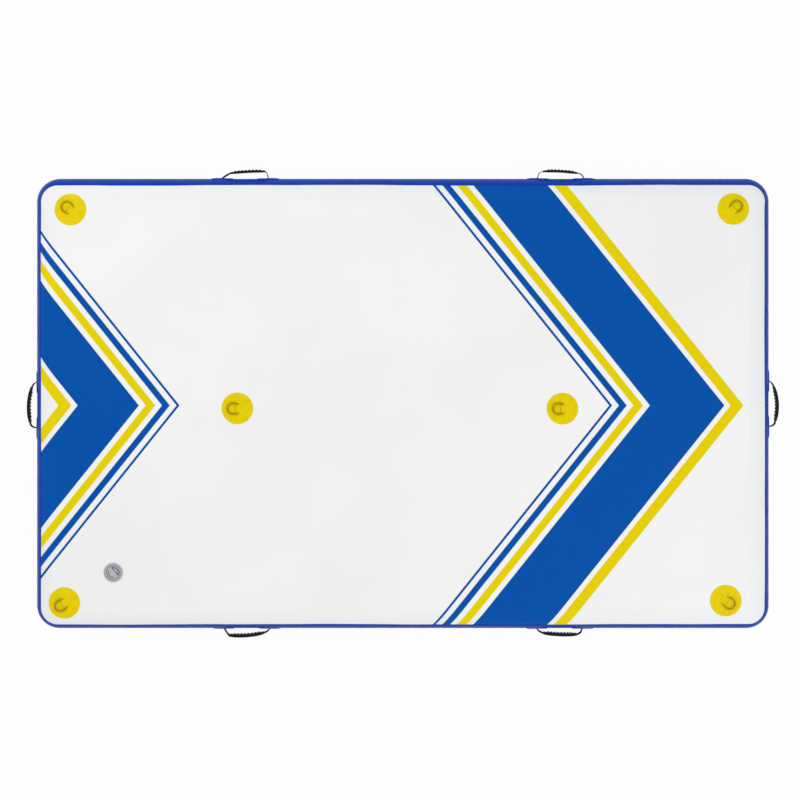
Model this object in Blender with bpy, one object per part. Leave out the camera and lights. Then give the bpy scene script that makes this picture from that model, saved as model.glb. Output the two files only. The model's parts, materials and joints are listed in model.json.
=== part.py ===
"""Inflatable dock platform: a drop-stitch chamber with a rounded rail, webbing handles, D-rings and a valve.

Units are metres and +Z is up. The origin is the centre of the flat underside. +X is to the right along
the long side and +Y is towards the back long side, the one furthest from the valve.
"""

import math

import bmesh
import bpy
from mathutils import Vector

# Chamber
dock_length = 2.440
dock_width = 1.498
chamber_height = 0.150
deck_corner_radius = 0.002  # plan corner of the flat deck, inside the rolled shoulder
skin_thickness = 0.0012
wall_thickness = 0.0012
core_cloth_thickness = 0.0010
fit_gap = 0.0003  # between pieces that touch
rail_start_angle = math.radians(45)  # from straight up to the rail's edge, round the shoulder
corner_steps = 5
shoulder_steps = 4
rail_steps = 8

# Drop-stitch threads, each post standing for a bundle of them
thread_post_size = 0.004
thread_post_spacing = 0.260
thread_post_bite_share = 0.5  # of the core cloth's thickness

# Ring patches and D-rings
patch_radius = 0.052
patch_layer_thickness = 0.0010
patch_top_radius = 0.038
patch_top_thickness = 0.0008
patch_gap = 0.0006  # the patch bends over the shoulder in flat facets
patch_centre_radius = 0.028
patch_segments = 24
ring_wire_diameter = 0.0045
ring_bow_radius = 0.0180  # all three ring sizes are to the wire's centre line
ring_depth = 0.0325
ring_bend_radius = 0.0030
ring_leg_angle = math.radians(8)  # how far the bow goes past a half circle on each side
ring_bow_steps = 14
ring_bend_steps = 3
wire_sides = 8
tab_width = 0.025
tab_thickness = 0.0012
tab_foot_length = 0.014
tab_fold_start = math.radians(60)  # where the fold leaves the upper ply, measured from straight back
tab_fold_end = math.radians(270)  # where it reaches the lower ply
tab_arc_step = math.radians(30)
ring_turn_clearance = 0.0003

# Where each ring patch lies, in shares of the half length and half width, and which way its bow lies
ring_place_shares = (
    ("back_left", -0.898, 0.8623, math.radians(143)),
    ("back_right", 0.8926, 0.8643, math.radians(44)),
    ("front_left", -0.9148, -0.8697, math.radians(213)),
    ("front_right", 0.8723, -0.8593, math.radians(-36)),
    ("mid_left", -0.447, -0.013, math.radians(180)),
    ("mid_right", 0.4311, -0.014, math.radians(180)),
)

# Handles: a strap that comes out of two slits in the side wall's patches, with a moulded grip on it
handle_span = 0.153  # between the two slits
handle_reach = 0.024  # from the side wall's outermost line to the strap's middle
strap_width = 0.020
strap_thickness = 0.0020
strap_tip_width = 0.007  # at the slit, where the corners are cut so that the strap can swing
strap_taper_slope_share = 0.95
strap_root_height = 0.0020
strap_rise_height = 0.0110
strap_corner_steps = 4
handle_axis_height = 0.0050  # of the swing axis, over the side wall's outermost line
grip_half_height = 0.0122
grip_end_half_height = 0.0114
grip_flat_side = 0.0039  # from the strap's middle to the grip's flat side
grip_trough = 0.0035  # from the strap's middle to the floor between two finger ridges
grip_ridge_depth = 0.0028
grip_end_side = 0.0026
grip_taper_length = 0.020
grip_corner = 0.0020
grip_end_corner = 0.0010
grip_ridges = 10
grip_line_steps = 6
handle_patch_length = 0.072
handle_patch_thickness = 0.0022
handle_patch_edge_thickness = 0.0009
handle_patch_edge_width = 0.0030
handle_patch_half_steps = 3  # half rail facets above and below the middle
slit_height = 0.024
cut_overrun = 0.004

# Each handle: its side, its place as a share of the half length, the grip's left end, middle and right end
# as shares of the half span and of the reach, how straight each strap end runs to its slit (1 is straight),
# and the side that the finger ridges are on (1 is outwards)
handle_shares = (
    ("back_left", "back", -0.4316, ((-0.66, 0.81), (0.08, 1.02), (0.88, 1.06)), (0.9, 0.5), 1),
    ("back_right", "back", 0.4322, ((-0.76, 1.07), (-0.03, 1.07), (0.74, 0.82)), (0.2, 0.3), 1),
    ("front_left", "front", -0.4268, ((-0.79, 1.12), (0.00, 1.16), (0.73, 0.78)), (0.9, 0.6), -1),
    ("front_right", "front", 0.4287, ((-0.70, 0.82), (0.04, 1.03), (0.75, 0.99)), (0.6, 0.3), -1),
    ("left", "left", -0.0046, ((-0.76, 1.07), (-0.06, 1.30), (0.76, 0.86)), (0.1, 0.6), -1),
    ("right", "right", -0.0011, ((-0.74, 1.04), (-0.06, 1.31), (0.72, 0.85)), (0.1, 0.6), -1),
)

# Valve
valve_place_shares = (-0.7822, -0.7349)  # of the half length and half width
valve_flange_radius = 0.0306
valve_flange_thickness = 0.0024
valve_neck_radius = 0.0235
valve_port_radius = 0.0214
valve_port_depth = 0.0150  # from the flange's top to the ledge under the cap
valve_airway_radius = 0.0165
valve_body_depth = 0.0420  # from the flange's underside to the body's lower end
valve_seat_radius = 0.0140
valve_seat_height = 0.0030
valve_seal_thickness = 0.0010
valve_nut_radius = 0.0300
valve_nut_height = 0.0080
guide_bar_width = 0.0026
guide_bar_height = 0.0040
guide_hub_radius = 0.0060
guide_rise = 0.0100  # of the guide's underside over the body's lower end
stem_radius = 0.0022
stem_button_radius = 0.0085
stem_button_thickness = 0.0026
stem_foot_radius = 0.0050
stem_foot_thickness = 0.0018
spring_length = 0.0095
spring_radius = 0.0046  # to the wire's middle
spring_wire_radius = 0.0004
spring_turns = 4
spring_points_per_turn = 12
diaphragm_radius = 0.0160
diaphragm_thickness = 0.0024
cap_gap = 0.0003
cap_seal_thickness = 0.0012
cap_seal_width = 0.0036
cap_rise = 0.0014  # of the cap's rim over the flange
cap_wall = 0.0028
cap_floor_thickness = 0.0020
cap_recess_depth = 0.0062
cap_bar_width = 0.0125
cap_bar_bearing = math.radians(-50)  # of the cap's grip bar
turned_steps = 24

# Worked out from the sizes above
chamber_radius = chamber_height / 2
half_length = dock_length / 2
half_width = dock_width / 2
corner_centre_x = half_length - chamber_radius - deck_corner_radius
corner_centre_y = half_width - chamber_radius - deck_corner_radius
rail_step_angle = (math.pi - 2 * rail_start_angle) / rail_steps
shoulder_angles = [rail_start_angle * step / shoulder_steps for step in range(shoulder_steps + 1)]
rail_angles = [rail_start_angle + rail_step_angle * step for step in range(rail_steps + 1)]
inner_layer_radius = chamber_radius - skin_thickness - fit_gap
valve_x = valve_place_shares[0] * half_length
valve_y = valve_place_shares[1] * half_width
flange_bottom = chamber_height + fit_gap + valve_seal_thickness + fit_gap
flange_top = flange_bottom + valve_flange_thickness
body_bottom = flange_bottom - valve_body_depth
ledge_height = flange_top - valve_port_depth
guide_bottom = body_bottom + guide_rise
guide_top = guide_bottom + guide_bar_height
button_bottom = guide_top + fit_gap + spring_length + fit_gap
button_top = button_bottom + stem_button_thickness
UP = Vector((0, 0, 1))


def srgb(red, green, blue):
    """A colour as the eye reads it, 0 to 255, as the linear values that a shader takes."""
    return [((value / 255 + 0.055) / 1.055) ** 2.4 for value in (red, green, blue)]


finishes = {
    "white_pvc": (srgb(240, 240, 238), 0.55, 0.0),
    "blue_pvc": (srgb(34, 62, 172), 0.40, 0.0),
    "grey_pvc": (srgb(150, 152, 156), 0.55, 0.0),
    "core_cloth": (srgb(214, 212, 204), 0.85, 0.0),
    "yellow_pvc": (srgb(232, 210, 8), 0.42, 0.0),
    "steel": (srgb(196, 190, 176), 0.22, 1.0),
    "webbing": (srgb(16, 14, 16), 0.80, 0.0),
    "moulded_grip": (srgb(20, 18, 20), 0.55, 0.0),
    "valve_plastic": (srgb(176, 175, 182), 0.35, 0.0),
    "cap_plastic": (srgb(186, 184, 194), 0.32, 0.0),
    "seal_rubber": (srgb(40, 40, 42), 0.70, 0.0),
    "spring_steel": (srgb(190, 192, 196), 0.25, 1.0),
}


def material(finish):
    """The finish's material, made once."""
    found = bpy.data.materials.get(finish)
    if found:
        return found
    colour, roughness, metallic = finishes[finish]
    made = bpy.data.materials.new(finish)
    made.use_nodes = True
    shader = made.node_tree.nodes["Principled BSDF"]
    shader.inputs["Base Color"].default_value = (*colour, 1)
    shader.inputs["Roughness"].default_value = roughness
    shader.inputs["Metallic"].default_value = metallic
    made.diffuse_color = (*colour, 1)
    return made


def place_mesh(name, shape, finish, origin=(0, 0, 0), smooth_angle=math.radians(30)):
    """An object of this bmesh, whose points are measured from origin."""
    bmesh.ops.recalc_face_normals(shape, faces=shape.faces)
    mesh = bpy.data.meshes.new(name)
    shape.to_mesh(mesh)
    shape.free()
    mesh.shade_smooth()
    mesh.set_sharp_from_angle(angle=smooth_angle)
    mesh.materials.append(material(finish))
    placed = bpy.data.objects.new(name, mesh)
    placed.location = origin
    bpy.context.scene.collection.objects.link(placed)
    return placed


def tool_mesh(name, shape, origin=(0, 0, 0)):
    """A cutter or a filler for a Boolean, which isn't a piece of the object."""
    tool = place_mesh(name, shape, "seal_rubber", origin)
    tool.hide_render = True
    tool.display_type = "WIRE"
    return tool


def combine(piece, tool, operation):
    modifier = piece.modifiers.new(tool.name, "BOOLEAN")
    modifier.operation = operation
    modifier.object = tool
    modifier.solver = "EXACT"


def bridge(shape, first, second, closed=True):
    """Quads between two rows of as many points."""
    count = len(first)
    for index in range(count if closed else count - 1):
        after = (index + 1) % count
        shape.faces.new((first[index], first[after], second[after], second[index]))


def box_shape(lows, highs):
    shape = bmesh.new()
    rows = []
    for z in (lows[2], highs[2]):
        corners = (
            (lows[0], lows[1], z),
            (highs[0], lows[1], z),
            (highs[0], highs[1], z),
            (lows[0], highs[1], z),
        )
        rows.append([shape.verts.new(corner) for corner in corners])
    bridge(shape, *rows)
    shape.faces.new(rows[0])
    shape.faces.new(rows[1])
    return shape


def turned_shape(profile, closed=False, steps=turned_steps):
    """A profile of (radius, height) turned about the Z axis: closed for a ring, else capped at both ends."""
    shape = bmesh.new()
    rows = []
    for radius, height in profile:
        row = []
        for step in range(steps):
            angle = 2 * math.pi * step / steps
            row.append(shape.verts.new((radius * math.cos(angle), radius * math.sin(angle), height)))
        rows.append(row)
    for first, second in zip(rows, rows[1:]):
        bridge(shape, first, second)
    if closed:
        bridge(shape, rows[-1], rows[0])
    else:
        shape.faces.new(rows[0])
        shape.faces.new(rows[-1])
    return shape


# The chamber


def plan_ring(shape, reach, height):
    """The chamber's plan outline at one height, reach outside the edge of the flat deck."""
    radius = deck_corner_radius + reach
    row = []
    for corner, (side_x, side_y) in enumerate(((1, 1), (-1, 1), (-1, -1), (1, -1))):
        for step in range(corner_steps + 1):
            angle = (corner + step / corner_steps) * math.pi / 2
            x = side_x * corner_centre_x + radius * math.cos(angle)
            y = side_y * corner_centre_y + radius * math.sin(angle)
            row.append(shape.verts.new((x, y, height)))
    return row


def round_rows(shape, angles, radius):
    """Plan outlines round the chamber's edge, at angles from straight up."""
    rows = []
    for angle in angles:
        rows.append(plan_ring(shape, radius * math.sin(angle), chamber_radius + radius * math.cos(angle)))
    return rows


def add_sheet(shape, angles, outer_radius, thickness):
    """A closed sheet over the deck, or under the base where the angles run up to pi."""
    rows = round_rows(shape, angles, outer_radius)
    rows += round_rows(shape, list(reversed(angles)), outer_radius - thickness)
    for first, second in zip(rows, rows[1:]):
        bridge(shape, first, second)
    shape.faces.new(rows[0])
    shape.faces.new(rows[-1])


def add_band(shape, angles, outer_radius, thickness):
    """A closed band round the chamber's edge."""
    rows = round_rows(shape, angles, outer_radius)
    rows += round_rows(shape, list(reversed(angles)), outer_radius - thickness)
    for first, second in zip(rows, rows[1:] + rows[:1]):
        bridge(shape, first, second)


def under(angles):
    """The same angles measured from straight down."""
    return [math.pi - angle for angle in angles]


def valve_hole_cutter():
    depth = chamber_radius
    radius = valve_neck_radius + fit_gap
    shape = turned_shape(((radius, depth), (radius, chamber_height + cut_overrun)))
    return tool_mesh("valve_hole_cutter", shape, (valve_x, valve_y, 0))


def thread_posts():
    """Upright thread bundles on a grid over the flat deck, left out under the valve."""
    bite = thread_post_bite_share * core_cloth_thickness
    top = chamber_radius + inner_layer_radius - core_cloth_thickness + bite
    bottom = chamber_height - top
    half = thread_post_size / 2
    columns = int(corner_centre_x / thread_post_spacing)
    rows = int(corner_centre_y / thread_post_spacing)
    shape = bmesh.new()
    for column in range(-columns, columns + 1):
        for row in range(-rows, rows + 1):
            x = column * thread_post_spacing
            y = row * thread_post_spacing
            if math.hypot(x - valve_x, y - valve_y) < 2 * valve_nut_radius:
                continue
            rings = []
            for height in (bottom, top):
                corners = ((x - half, y - half), (x + half, y - half), (x + half, y + half), (x - half, y + half))
                rings.append([shape.verts.new((*corner, height)) for corner in corners])
            bridge(shape, *rings)
            shape.faces.new(rings[0])
            shape.faces.new(rings[1])
    return tool_mesh("thread_post_filler", shape)


def make_chamber():
    cutter = valve_hole_cutter()
    seam = fit_gap / chamber_radius
    skin_angles = [*shoulder_angles[:-1], shoulder_angles[-1] - seam]
    shape = bmesh.new()
    add_sheet(shape, skin_angles, chamber_radius, skin_thickness)
    deck = place_mesh("deck_skin", shape, "white_pvc")
    combine(deck, cutter, "DIFFERENCE")
    shape = bmesh.new()
    add_sheet(shape, under(skin_angles), chamber_radius, skin_thickness)
    place_mesh("base_skin", shape, "grey_pvc")
    shape = bmesh.new()
    add_band(shape, rail_angles, chamber_radius, wall_thickness)
    place_mesh("side_wall", shape, "blue_pvc")
    lap = shoulder_angles[-2]
    shape = bmesh.new()
    add_band(shape, [lap, *rail_angles, math.pi - lap], inner_layer_radius, wall_thickness)
    place_mesh("inner_side_wall", shape, "blue_pvc")
    cloth_angles = [*shoulder_angles[:-2], lap - seam]
    shape = bmesh.new()
    add_sheet(shape, cloth_angles, inner_layer_radius, core_cloth_thickness)
    add_sheet(shape, under(cloth_angles), inner_layer_radius, core_cloth_thickness)
    core = place_mesh("drop_stitch_core", shape, "core_cloth")
    combine(core, thread_posts(), "UNION")
    combine(core, cutter, "DIFFERENCE")


# Ring patches, tabs and D-rings


def deck_height(x, y):
    """Height of the deck over a plan point, which falls away round the shoulder."""
    over_x = max(abs(x) - corner_centre_x, 0)
    over_y = max(abs(y) - corner_centre_y, 0)
    reach = max(math.hypot(over_x, over_y) - deck_corner_radius, 0)
    return chamber_radius + math.sqrt(chamber_radius**2 - reach**2)


def make_ring_patch(name, x, y):
    """Two round layers laid on the deck, which bend with it where they pass its shoulder."""

    def row(shape, radius, lift):
        points = []
        for step in range(patch_segments):
            angle = 2 * math.pi * step / patch_segments
            across = radius * math.cos(angle)
            along = radius * math.sin(angle)
            points.append(shape.verts.new((across, along, deck_height(x + across, y + along) + patch_gap + lift)))
        return points

    def fan(shape, points, lift):
        middle = shape.verts.new((0, 0, deck_height(x, y) + patch_gap + lift))
        for index, point in enumerate(points):
            shape.faces.new((point, points[(index + 1) % len(points)], middle))

    top = patch_layer_thickness + patch_top_thickness
    rim_middle = (patch_top_radius + patch_radius) / 2
    shape = bmesh.new()
    rows = [
        row(shape, patch_centre_radius, top),
        row(shape, patch_top_radius, top),
        row(shape, patch_top_radius + patch_top_thickness, patch_layer_thickness),
        row(shape, rim_middle, patch_layer_thickness),
        row(shape, patch_radius, patch_layer_thickness),
        row(shape, patch_radius, 0),
        row(shape, rim_middle, 0),
        row(shape, patch_centre_radius, 0),
    ]
    for first, second in zip(rows, rows[1:]):
        bridge(shape, first, second)
    fan(shape, rows[0], top)
    fan(shape, rows[-1], 0)
    place_mesh(f"ring_patch_{name}", shape, "yellow_pvc", (x, y, 0))


def rounded_corner(before, corner, after, radius, steps):
    """Points of the arc that rounds a corner, in order."""
    into = (before - corner).normalized()
    out = (after - corner).normalized()
    half_angle = into.angle(out) / 2
    centre = corner + (into + out).normalized() * radius / math.sin(half_angle)
    start = corner + into * radius / math.tan(half_angle) - centre
    end = corner + out * radius / math.tan(half_angle) - centre
    sweep = start.angle_signed(end)
    points = []
    for step in range(steps + 1):
        angle = -sweep * step / steps
        turned = Vector(
            (
                start.x * math.cos(angle) - start.y * math.sin(angle),
                start.x * math.sin(angle) + start.y * math.cos(angle),
            )
        )
        points.append(centre + turned)
    return points


def ring_line():
    """The wire's centre line, as (along the bar, towards the bow) from the middle of the bar."""
    centre = Vector((0, ring_depth - ring_bow_radius))
    bow = []
    for step in range(ring_bow_steps + 1):
        angle = -ring_leg_angle + (math.pi + 2 * ring_leg_angle) * step / ring_bow_steps
        bow.append(centre + ring_bow_radius * Vector((math.cos(angle), math.sin(angle))))
    fall = bow[0].y / math.cos(ring_leg_angle)
    foot_x = bow[0].x - fall * math.sin(ring_leg_angle)
    left = Vector((-foot_x, 0))
    right = Vector((foot_x, 0))
    bends = rounded_corner(bow[-1], left, right, ring_bend_radius, ring_bend_steps)
    bends += rounded_corner(left, right, bow[0], ring_bend_radius, ring_bend_steps)
    return bow + bends


def bow_axes(bearing):
    """Unit vectors along the bar and towards the bow."""
    bow = Vector((math.cos(bearing), math.sin(bearing), 0))
    return bow.cross(UP), bow


def make_d_ring(name, centre, bearing):
    """A bent wire, round in section, lying flat with its bar through centre."""
    bar, bow = bow_axes(bearing)
    line = ring_line()
    shape = bmesh.new()
    rows = []
    for index, point in enumerate(line):
        run = (line[(index + 1) % len(line)] - line[index - 1]).normalized()
        outward = bar * run.y - bow * run.x
        middle = bar * point.x + bow * point.y
        row = []
        for side in range(wire_sides):
            angle = 2 * math.pi * side / wire_sides
            offset = outward * math.cos(angle) + UP * math.sin(angle)
            row.append(shape.verts.new(middle + offset * ring_wire_diameter / 2))
        rows.append(row)
    for first, second in zip(rows, rows[1:] + rows[:1]):
        bridge(shape, first, second)
    place_mesh(f"d_ring_{name}", shape, "steel", centre, math.radians(60))


def make_ring_tab(name, centre, bearing):
    """A strip folded round the bar, both its ends on the patch behind the bow."""
    bar, bow = bow_axes(bearing)
    hole_radius = ring_wire_diameter / 2 + ring_turn_clearance
    fold_radius = hole_radius + tab_thickness
    steps = round(2 * math.pi / tab_arc_step)
    hole_angles = [tab_fold_start + tab_arc_step * step for step in range(steps)]
    fold_angles = hole_angles[: round((tab_fold_end - tab_fold_start) / tab_arc_step) + 1]
    outer = [Vector((math.cos(angle), math.sin(angle))) * fold_radius for angle in fold_angles]
    heel = Vector((tab_foot_length, -fold_radius))
    toe = heel + Vector((0, 2 * tab_thickness))
    outer += [(outer[-1] + heel) / 2, heel, toe, (toe + outer[0]) / 2]
    hole = [Vector((math.cos(angle), math.sin(angle))) * hole_radius for angle in hole_angles]
    shape = bmesh.new()
    ends = []
    for side in (-1, 1):
        at = bar * side * tab_width / 2
        ends.append([[shape.verts.new(at - bow * back + UP * up) for back, up in loop] for loop in (outer, hole)])
    for end in ends:
        bridge(shape, *end)
    for loop in range(2):
        bridge(shape, ends[0][loop], ends[1][loop])
    place_mesh(f"ring_tab_{name}", shape, "yellow_pvc", centre)


def make_rings():
    fold_radius = ring_wire_diameter / 2 + ring_turn_clearance + tab_thickness
    patch_top = chamber_height + patch_gap + patch_layer_thickness + patch_top_thickness
    bar_height = patch_top + fit_gap + fold_radius
    for name, share_x, share_y, bearing in ring_place_shares:
        x = share_x * half_length
        y = share_y * half_width
        make_ring_patch(name, x, y)
        make_d_ring(name, (x, y, bar_height), bearing)
        make_ring_tab(name, (x, y, bar_height), bearing)


# Handles


def wall_frame(side):
    """The middle of a side wall's outermost line, and unit vectors along it and outwards."""
    frames = {
        "back": ((0, half_width, 0), (1, 0, 0), (0, 1, 0)),
        "front": ((0, -half_width, 0), (1, 0, 0), (0, -1, 0)),
        "left": ((-half_length, 0, 0), (0, 1, 0), (-1, 0, 0)),
        "right": ((half_length, 0, 0), (0, 1, 0), (1, 0, 0)),
    }
    return [Vector(values) for values in frames[side]]


def grip_line(ends):
    """Points of the strap's middle inside the grip: a curve through the grip's two ends and its middle."""
    places = [Vector((across * handle_span / 2, out * handle_reach)) for across, out in ends]
    left, middle, right = places
    points = []
    for step in range(grip_line_steps + 1):
        x = left.x + (right.x - left.x) * step / grip_line_steps
        y = left.y * (x - middle.x) * (x - right.x) / ((left.x - middle.x) * (left.x - right.x))
        y += middle.y * (x - left.x) * (x - right.x) / ((middle.x - left.x) * (middle.x - right.x))
        y += right.y * (x - left.x) * (x - middle.x) / ((right.x - left.x) * (right.x - middle.x))
        points.append(Vector((x, y)))
    return points


def strap_end(side, grip_end, straightness):
    """Points of the strap from its slit up to the grip's end."""
    slit_x = side * handle_span / 2
    full_height = strap_root_height + (strap_width - strap_tip_width) / 2 / strap_taper_slope_share
    heights = (strap_root_height, handle_axis_height, full_height, strap_rise_height)
    points = [Vector((slit_x, height)) for height in heights]
    square = Vector((slit_x, grip_end.y))
    bend = square.lerp((points[-1] + grip_end) / 2, straightness)
    for step in range(1, strap_corner_steps):
        share = step / strap_corner_steps
        points.append(points[3].lerp(bend, share).lerp(bend.lerp(grip_end, share), share))
    return points


def strap_half_width(height):
    taper = strap_tip_width / 2 + (height - strap_root_height) * strap_taper_slope_share
    return min(strap_width / 2, taper)


def line_normals(line):
    """Unit vectors square to the line, lengthened at each bend so that a strip keeps its thickness."""
    normals = []
    for index, point in enumerate(line):
        before = (point - line[max(index - 1, 0)]).normalized()
        after = (line[min(index + 1, len(line) - 1)] - point).normalized()
        run = (before + after).normalized()
        square = Vector((-run.y, run.x))
        longest = max(before.dot(run), after.dot(run))
        normals.append(square / longest)
    return normals


def strip_shape(along, outward, line, half_widths, thickness):
    """A flat strip along a line of (along, outward) points, standing on edge."""
    shape = bmesh.new()
    rows = []
    for point, normal, half in zip(line, line_normals(line), half_widths):
        corners = []
        for side, height in ((-1, -half), (1, -half), (1, half), (-1, half)):
            place = point + normal * side * thickness / 2
            corners.append(shape.verts.new(along * place.x + outward * place.y + UP * height))
        rows.append(corners)
    for first, second in zip(rows, rows[1:]):
        bridge(shape, first, second)
    shape.faces.new(rows[0])
    shape.faces.new(rows[-1])
    return shape


def blend(low, high, share):
    return low + (high - low) * share


def make_grip(name, axis_point, along, outward, line, ridge_side):
    """A moulded grip with finger ridges down one side, bored for the strap."""
    drop = Vector((0, handle_axis_height))
    count = 2 * grip_ridges
    lengths = [0]
    for first, second in zip(line, line[1:]):
        lengths.append(lengths[-1] + (second - first).length)
    normals = line_normals(line)
    shape = bmesh.new()
    rows = []
    for station in range(count + 1):
        distance = lengths[-1] * station / count
        index = max(place for place in range(len(line) - 1) if lengths[place] <= distance)
        share = (distance - lengths[index]) / (lengths[index + 1] - lengths[index])
        point = line[index].lerp(line[index + 1], share) - drop
        normal = normals[index].lerp(normals[index + 1], share)
        fullness = min(1, distance / grip_taper_length, (lengths[-1] - distance) / grip_taper_length)
        ridge = grip_ridge_depth * fullness * (station % 2)
        ridged = blend(grip_end_side, grip_trough, fullness) + ridge
        flat = blend(grip_end_side, grip_flat_side, fullness)
        half = blend(grip_end_half_height, grip_half_height, fullness)
        corner = blend(grip_end_corner, grip_corner, fullness)
        section = (
            (-flat, -half + corner),
            (-flat + corner, -half),
            (ridged - corner, -half),
            (ridged, -half + corner),
            (ridged, half - corner),
            (ridged - corner, half),
            (-flat + corner, half),
            (-flat, half - corner),
        )
        row = []
        for depth, height in section:
            place = point + normal * ridge_side * depth
            row.append(shape.verts.new(along * place.x + outward * place.y + UP * height))
        rows.append(row)
    for first, second in zip(rows, rows[1:]):
        bridge(shape, first, second)
    shape.faces.new(rows[0])
    shape.faces.new(rows[-1])
    grip = place_mesh(f"handle_grip_{name}", shape, "moulded_grip", axis_point)
    start = line[0] + (line[0] - line[1]).normalized() * cut_overrun
    end = line[-1] + (line[-1] - line[-2]).normalized() * cut_overrun
    bore = [point - drop for point in (start, *line, end)]
    half_widths = [strap_width / 2 + fit_gap] * len(bore)
    shape = strip_shape(along, outward, bore, half_widths, strap_thickness + 2 * fit_gap)
    combine(grip, tool_mesh(f"grip_bore_{name}", shape, axis_point), "DIFFERENCE")


def make_handle_patch(name, slit_point, along, outward):
    """A patch welded round the side wall, with the slit that the strap comes out of."""
    step = rail_step_angle / 2
    angles = [step * index for index in range(-handle_patch_half_steps, handle_patch_half_steps + 1)]
    half = handle_patch_length / 2
    inner_radius = chamber_radius + fit_gap
    edge_angle = handle_patch_edge_width / chamber_radius
    shape = bmesh.new()
    rows = []
    for place in (-half, -half + handle_patch_edge_width, half - handle_patch_edge_width, half):
        end = abs(place) == half
        points = []
        for angle in (angles[0], angles[0] + edge_angle, *angles[1:-1], angles[-1] - edge_angle, angles[-1]):
            edge = end or abs(angle) == angles[-1]
            points.append((angle, inner_radius + (handle_patch_edge_thickness if edge else handle_patch_thickness)))
        points += [(angle, inner_radius) for angle in reversed(angles)]
        row = []
        for angle, radius in points:
            out = radius * math.cos(angle) - chamber_radius
            row.append(shape.verts.new(along * place + outward * out + UP * radius * math.sin(angle)))
        rows.append(row)
    for first, second in zip(rows, rows[1:]):
        bridge(shape, first, second)
    shape.faces.new(rows[0])
    shape.faces.new(rows[-1])
    patch = place_mesh(f"handle_patch_{name}", shape, "blue_pvc", slit_point)
    half_slit = strap_thickness / 2 + fit_gap
    slit = [Vector((0, -cut_overrun)), Vector((0, handle_patch_thickness + cut_overrun))]
    shape = strip_shape(along, outward, slit, [slit_height / 2] * 2, 2 * half_slit)
    combine(patch, tool_mesh(f"slit_cutter_{name}", shape, slit_point), "DIFFERENCE")


def make_handles():
    drop = Vector((0, handle_axis_height))
    for name, side, place_share, ends, straightness, ridge_side in handle_shares:
        middle, along, outward = wall_frame(side)
        wall_point = middle + along * place_share * half_length + UP * chamber_radius
        axis_point = wall_point + outward * handle_axis_height
        inside = grip_line(ends)
        left = strap_end(-1, inside[0], straightness[0])
        right = strap_end(1, inside[-1], straightness[1])
        line = left + inside + right[::-1]
        half_widths = [strap_half_width(point.y) for point in line]
        shape = strip_shape(along, outward, [point - drop for point in line], half_widths, strap_thickness)
        place_mesh(f"handle_strap_{name}", shape, "webbing", axis_point)
        make_grip(name, axis_point, along, outward, inside, ridge_side)
        for number, direction in ((1, -1), (2, 1)):
            slit_point = wall_point + along * direction * handle_span / 2
            make_handle_patch(f"{name}_{number}", slit_point, along, outward)


# Valve


def make_valve_body():
    """The flanged body: port for the cap, ledge, airway, guide for the stem and seat at the lower end."""
    neck = valve_neck_radius
    profile = (
        (valve_port_radius, flange_top),
        (valve_flange_radius, flange_top),
        (valve_flange_radius, flange_bottom),
        (neck, flange_bottom),
        (neck, body_bottom),
        (valve_seat_radius, body_bottom),
        (valve_seat_radius, body_bottom + valve_seat_height),
        (valve_airway_radius, body_bottom + valve_seat_height),
        (valve_airway_radius, ledge_height),
        (valve_port_radius, ledge_height),
    )
    body = place_mesh("valve_body", turned_shape(profile, closed=True), "valve_plastic", (valve_x, valve_y, 0))
    reach = (valve_airway_radius + neck) / 2
    half = guide_bar_width / 2
    bars = (
        ("guide_bar_x", (-reach, -half, guide_bottom), (reach, half, guide_top)),
        ("guide_bar_y", (-half, -reach, guide_bottom), (half, reach, guide_top)),
    )
    for name, lows, highs in bars:
        combine(body, tool_mesh(name, box_shape(lows, highs), (valve_x, valve_y, 0)), "UNION")
    hub = turned_shape(((guide_hub_radius, guide_bottom), (guide_hub_radius, guide_top)))
    combine(body, tool_mesh("guide_hub", hub, (valve_x, valve_y, 0)), "UNION")
    bore_radius = stem_radius + fit_gap
    bore = turned_shape(((bore_radius, guide_bottom - cut_overrun), (bore_radius, guide_top + cut_overrun)))
    combine(body, tool_mesh("guide_bore", bore, (valve_x, valve_y, 0)), "DIFFERENCE")


def make_ring_piece(name, finish, inner_radius, outer_radius, bottom, top):
    profile = ((inner_radius, top), (outer_radius, top), (outer_radius, bottom), (inner_radius, bottom))
    return place_mesh(name, turned_shape(profile, closed=True), finish, (valve_x, valve_y, 0))


def make_stem():
    """Push button, shaft and foot, turned in one piece, and the diaphragm trapped over the foot."""
    diaphragm_top = body_bottom - fit_gap
    diaphragm_bottom = diaphragm_top - diaphragm_thickness
    foot_top = diaphragm_bottom - fit_gap
    foot_bottom = foot_top - stem_foot_thickness
    profile = (
        (stem_button_radius, button_top),
        (stem_button_radius, button_bottom),
        (stem_radius, button_bottom),
        (stem_radius, foot_top),
        (stem_foot_radius, foot_top),
        (stem_foot_radius, foot_bottom),
    )
    place_mesh("valve_stem", turned_shape(profile), "valve_plastic", (valve_x, valve_y, 0))
    bore = stem_radius + fit_gap
    make_ring_piece("valve_diaphragm", "seal_rubber", bore, diaphragm_radius, diaphragm_bottom, diaphragm_top)


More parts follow.
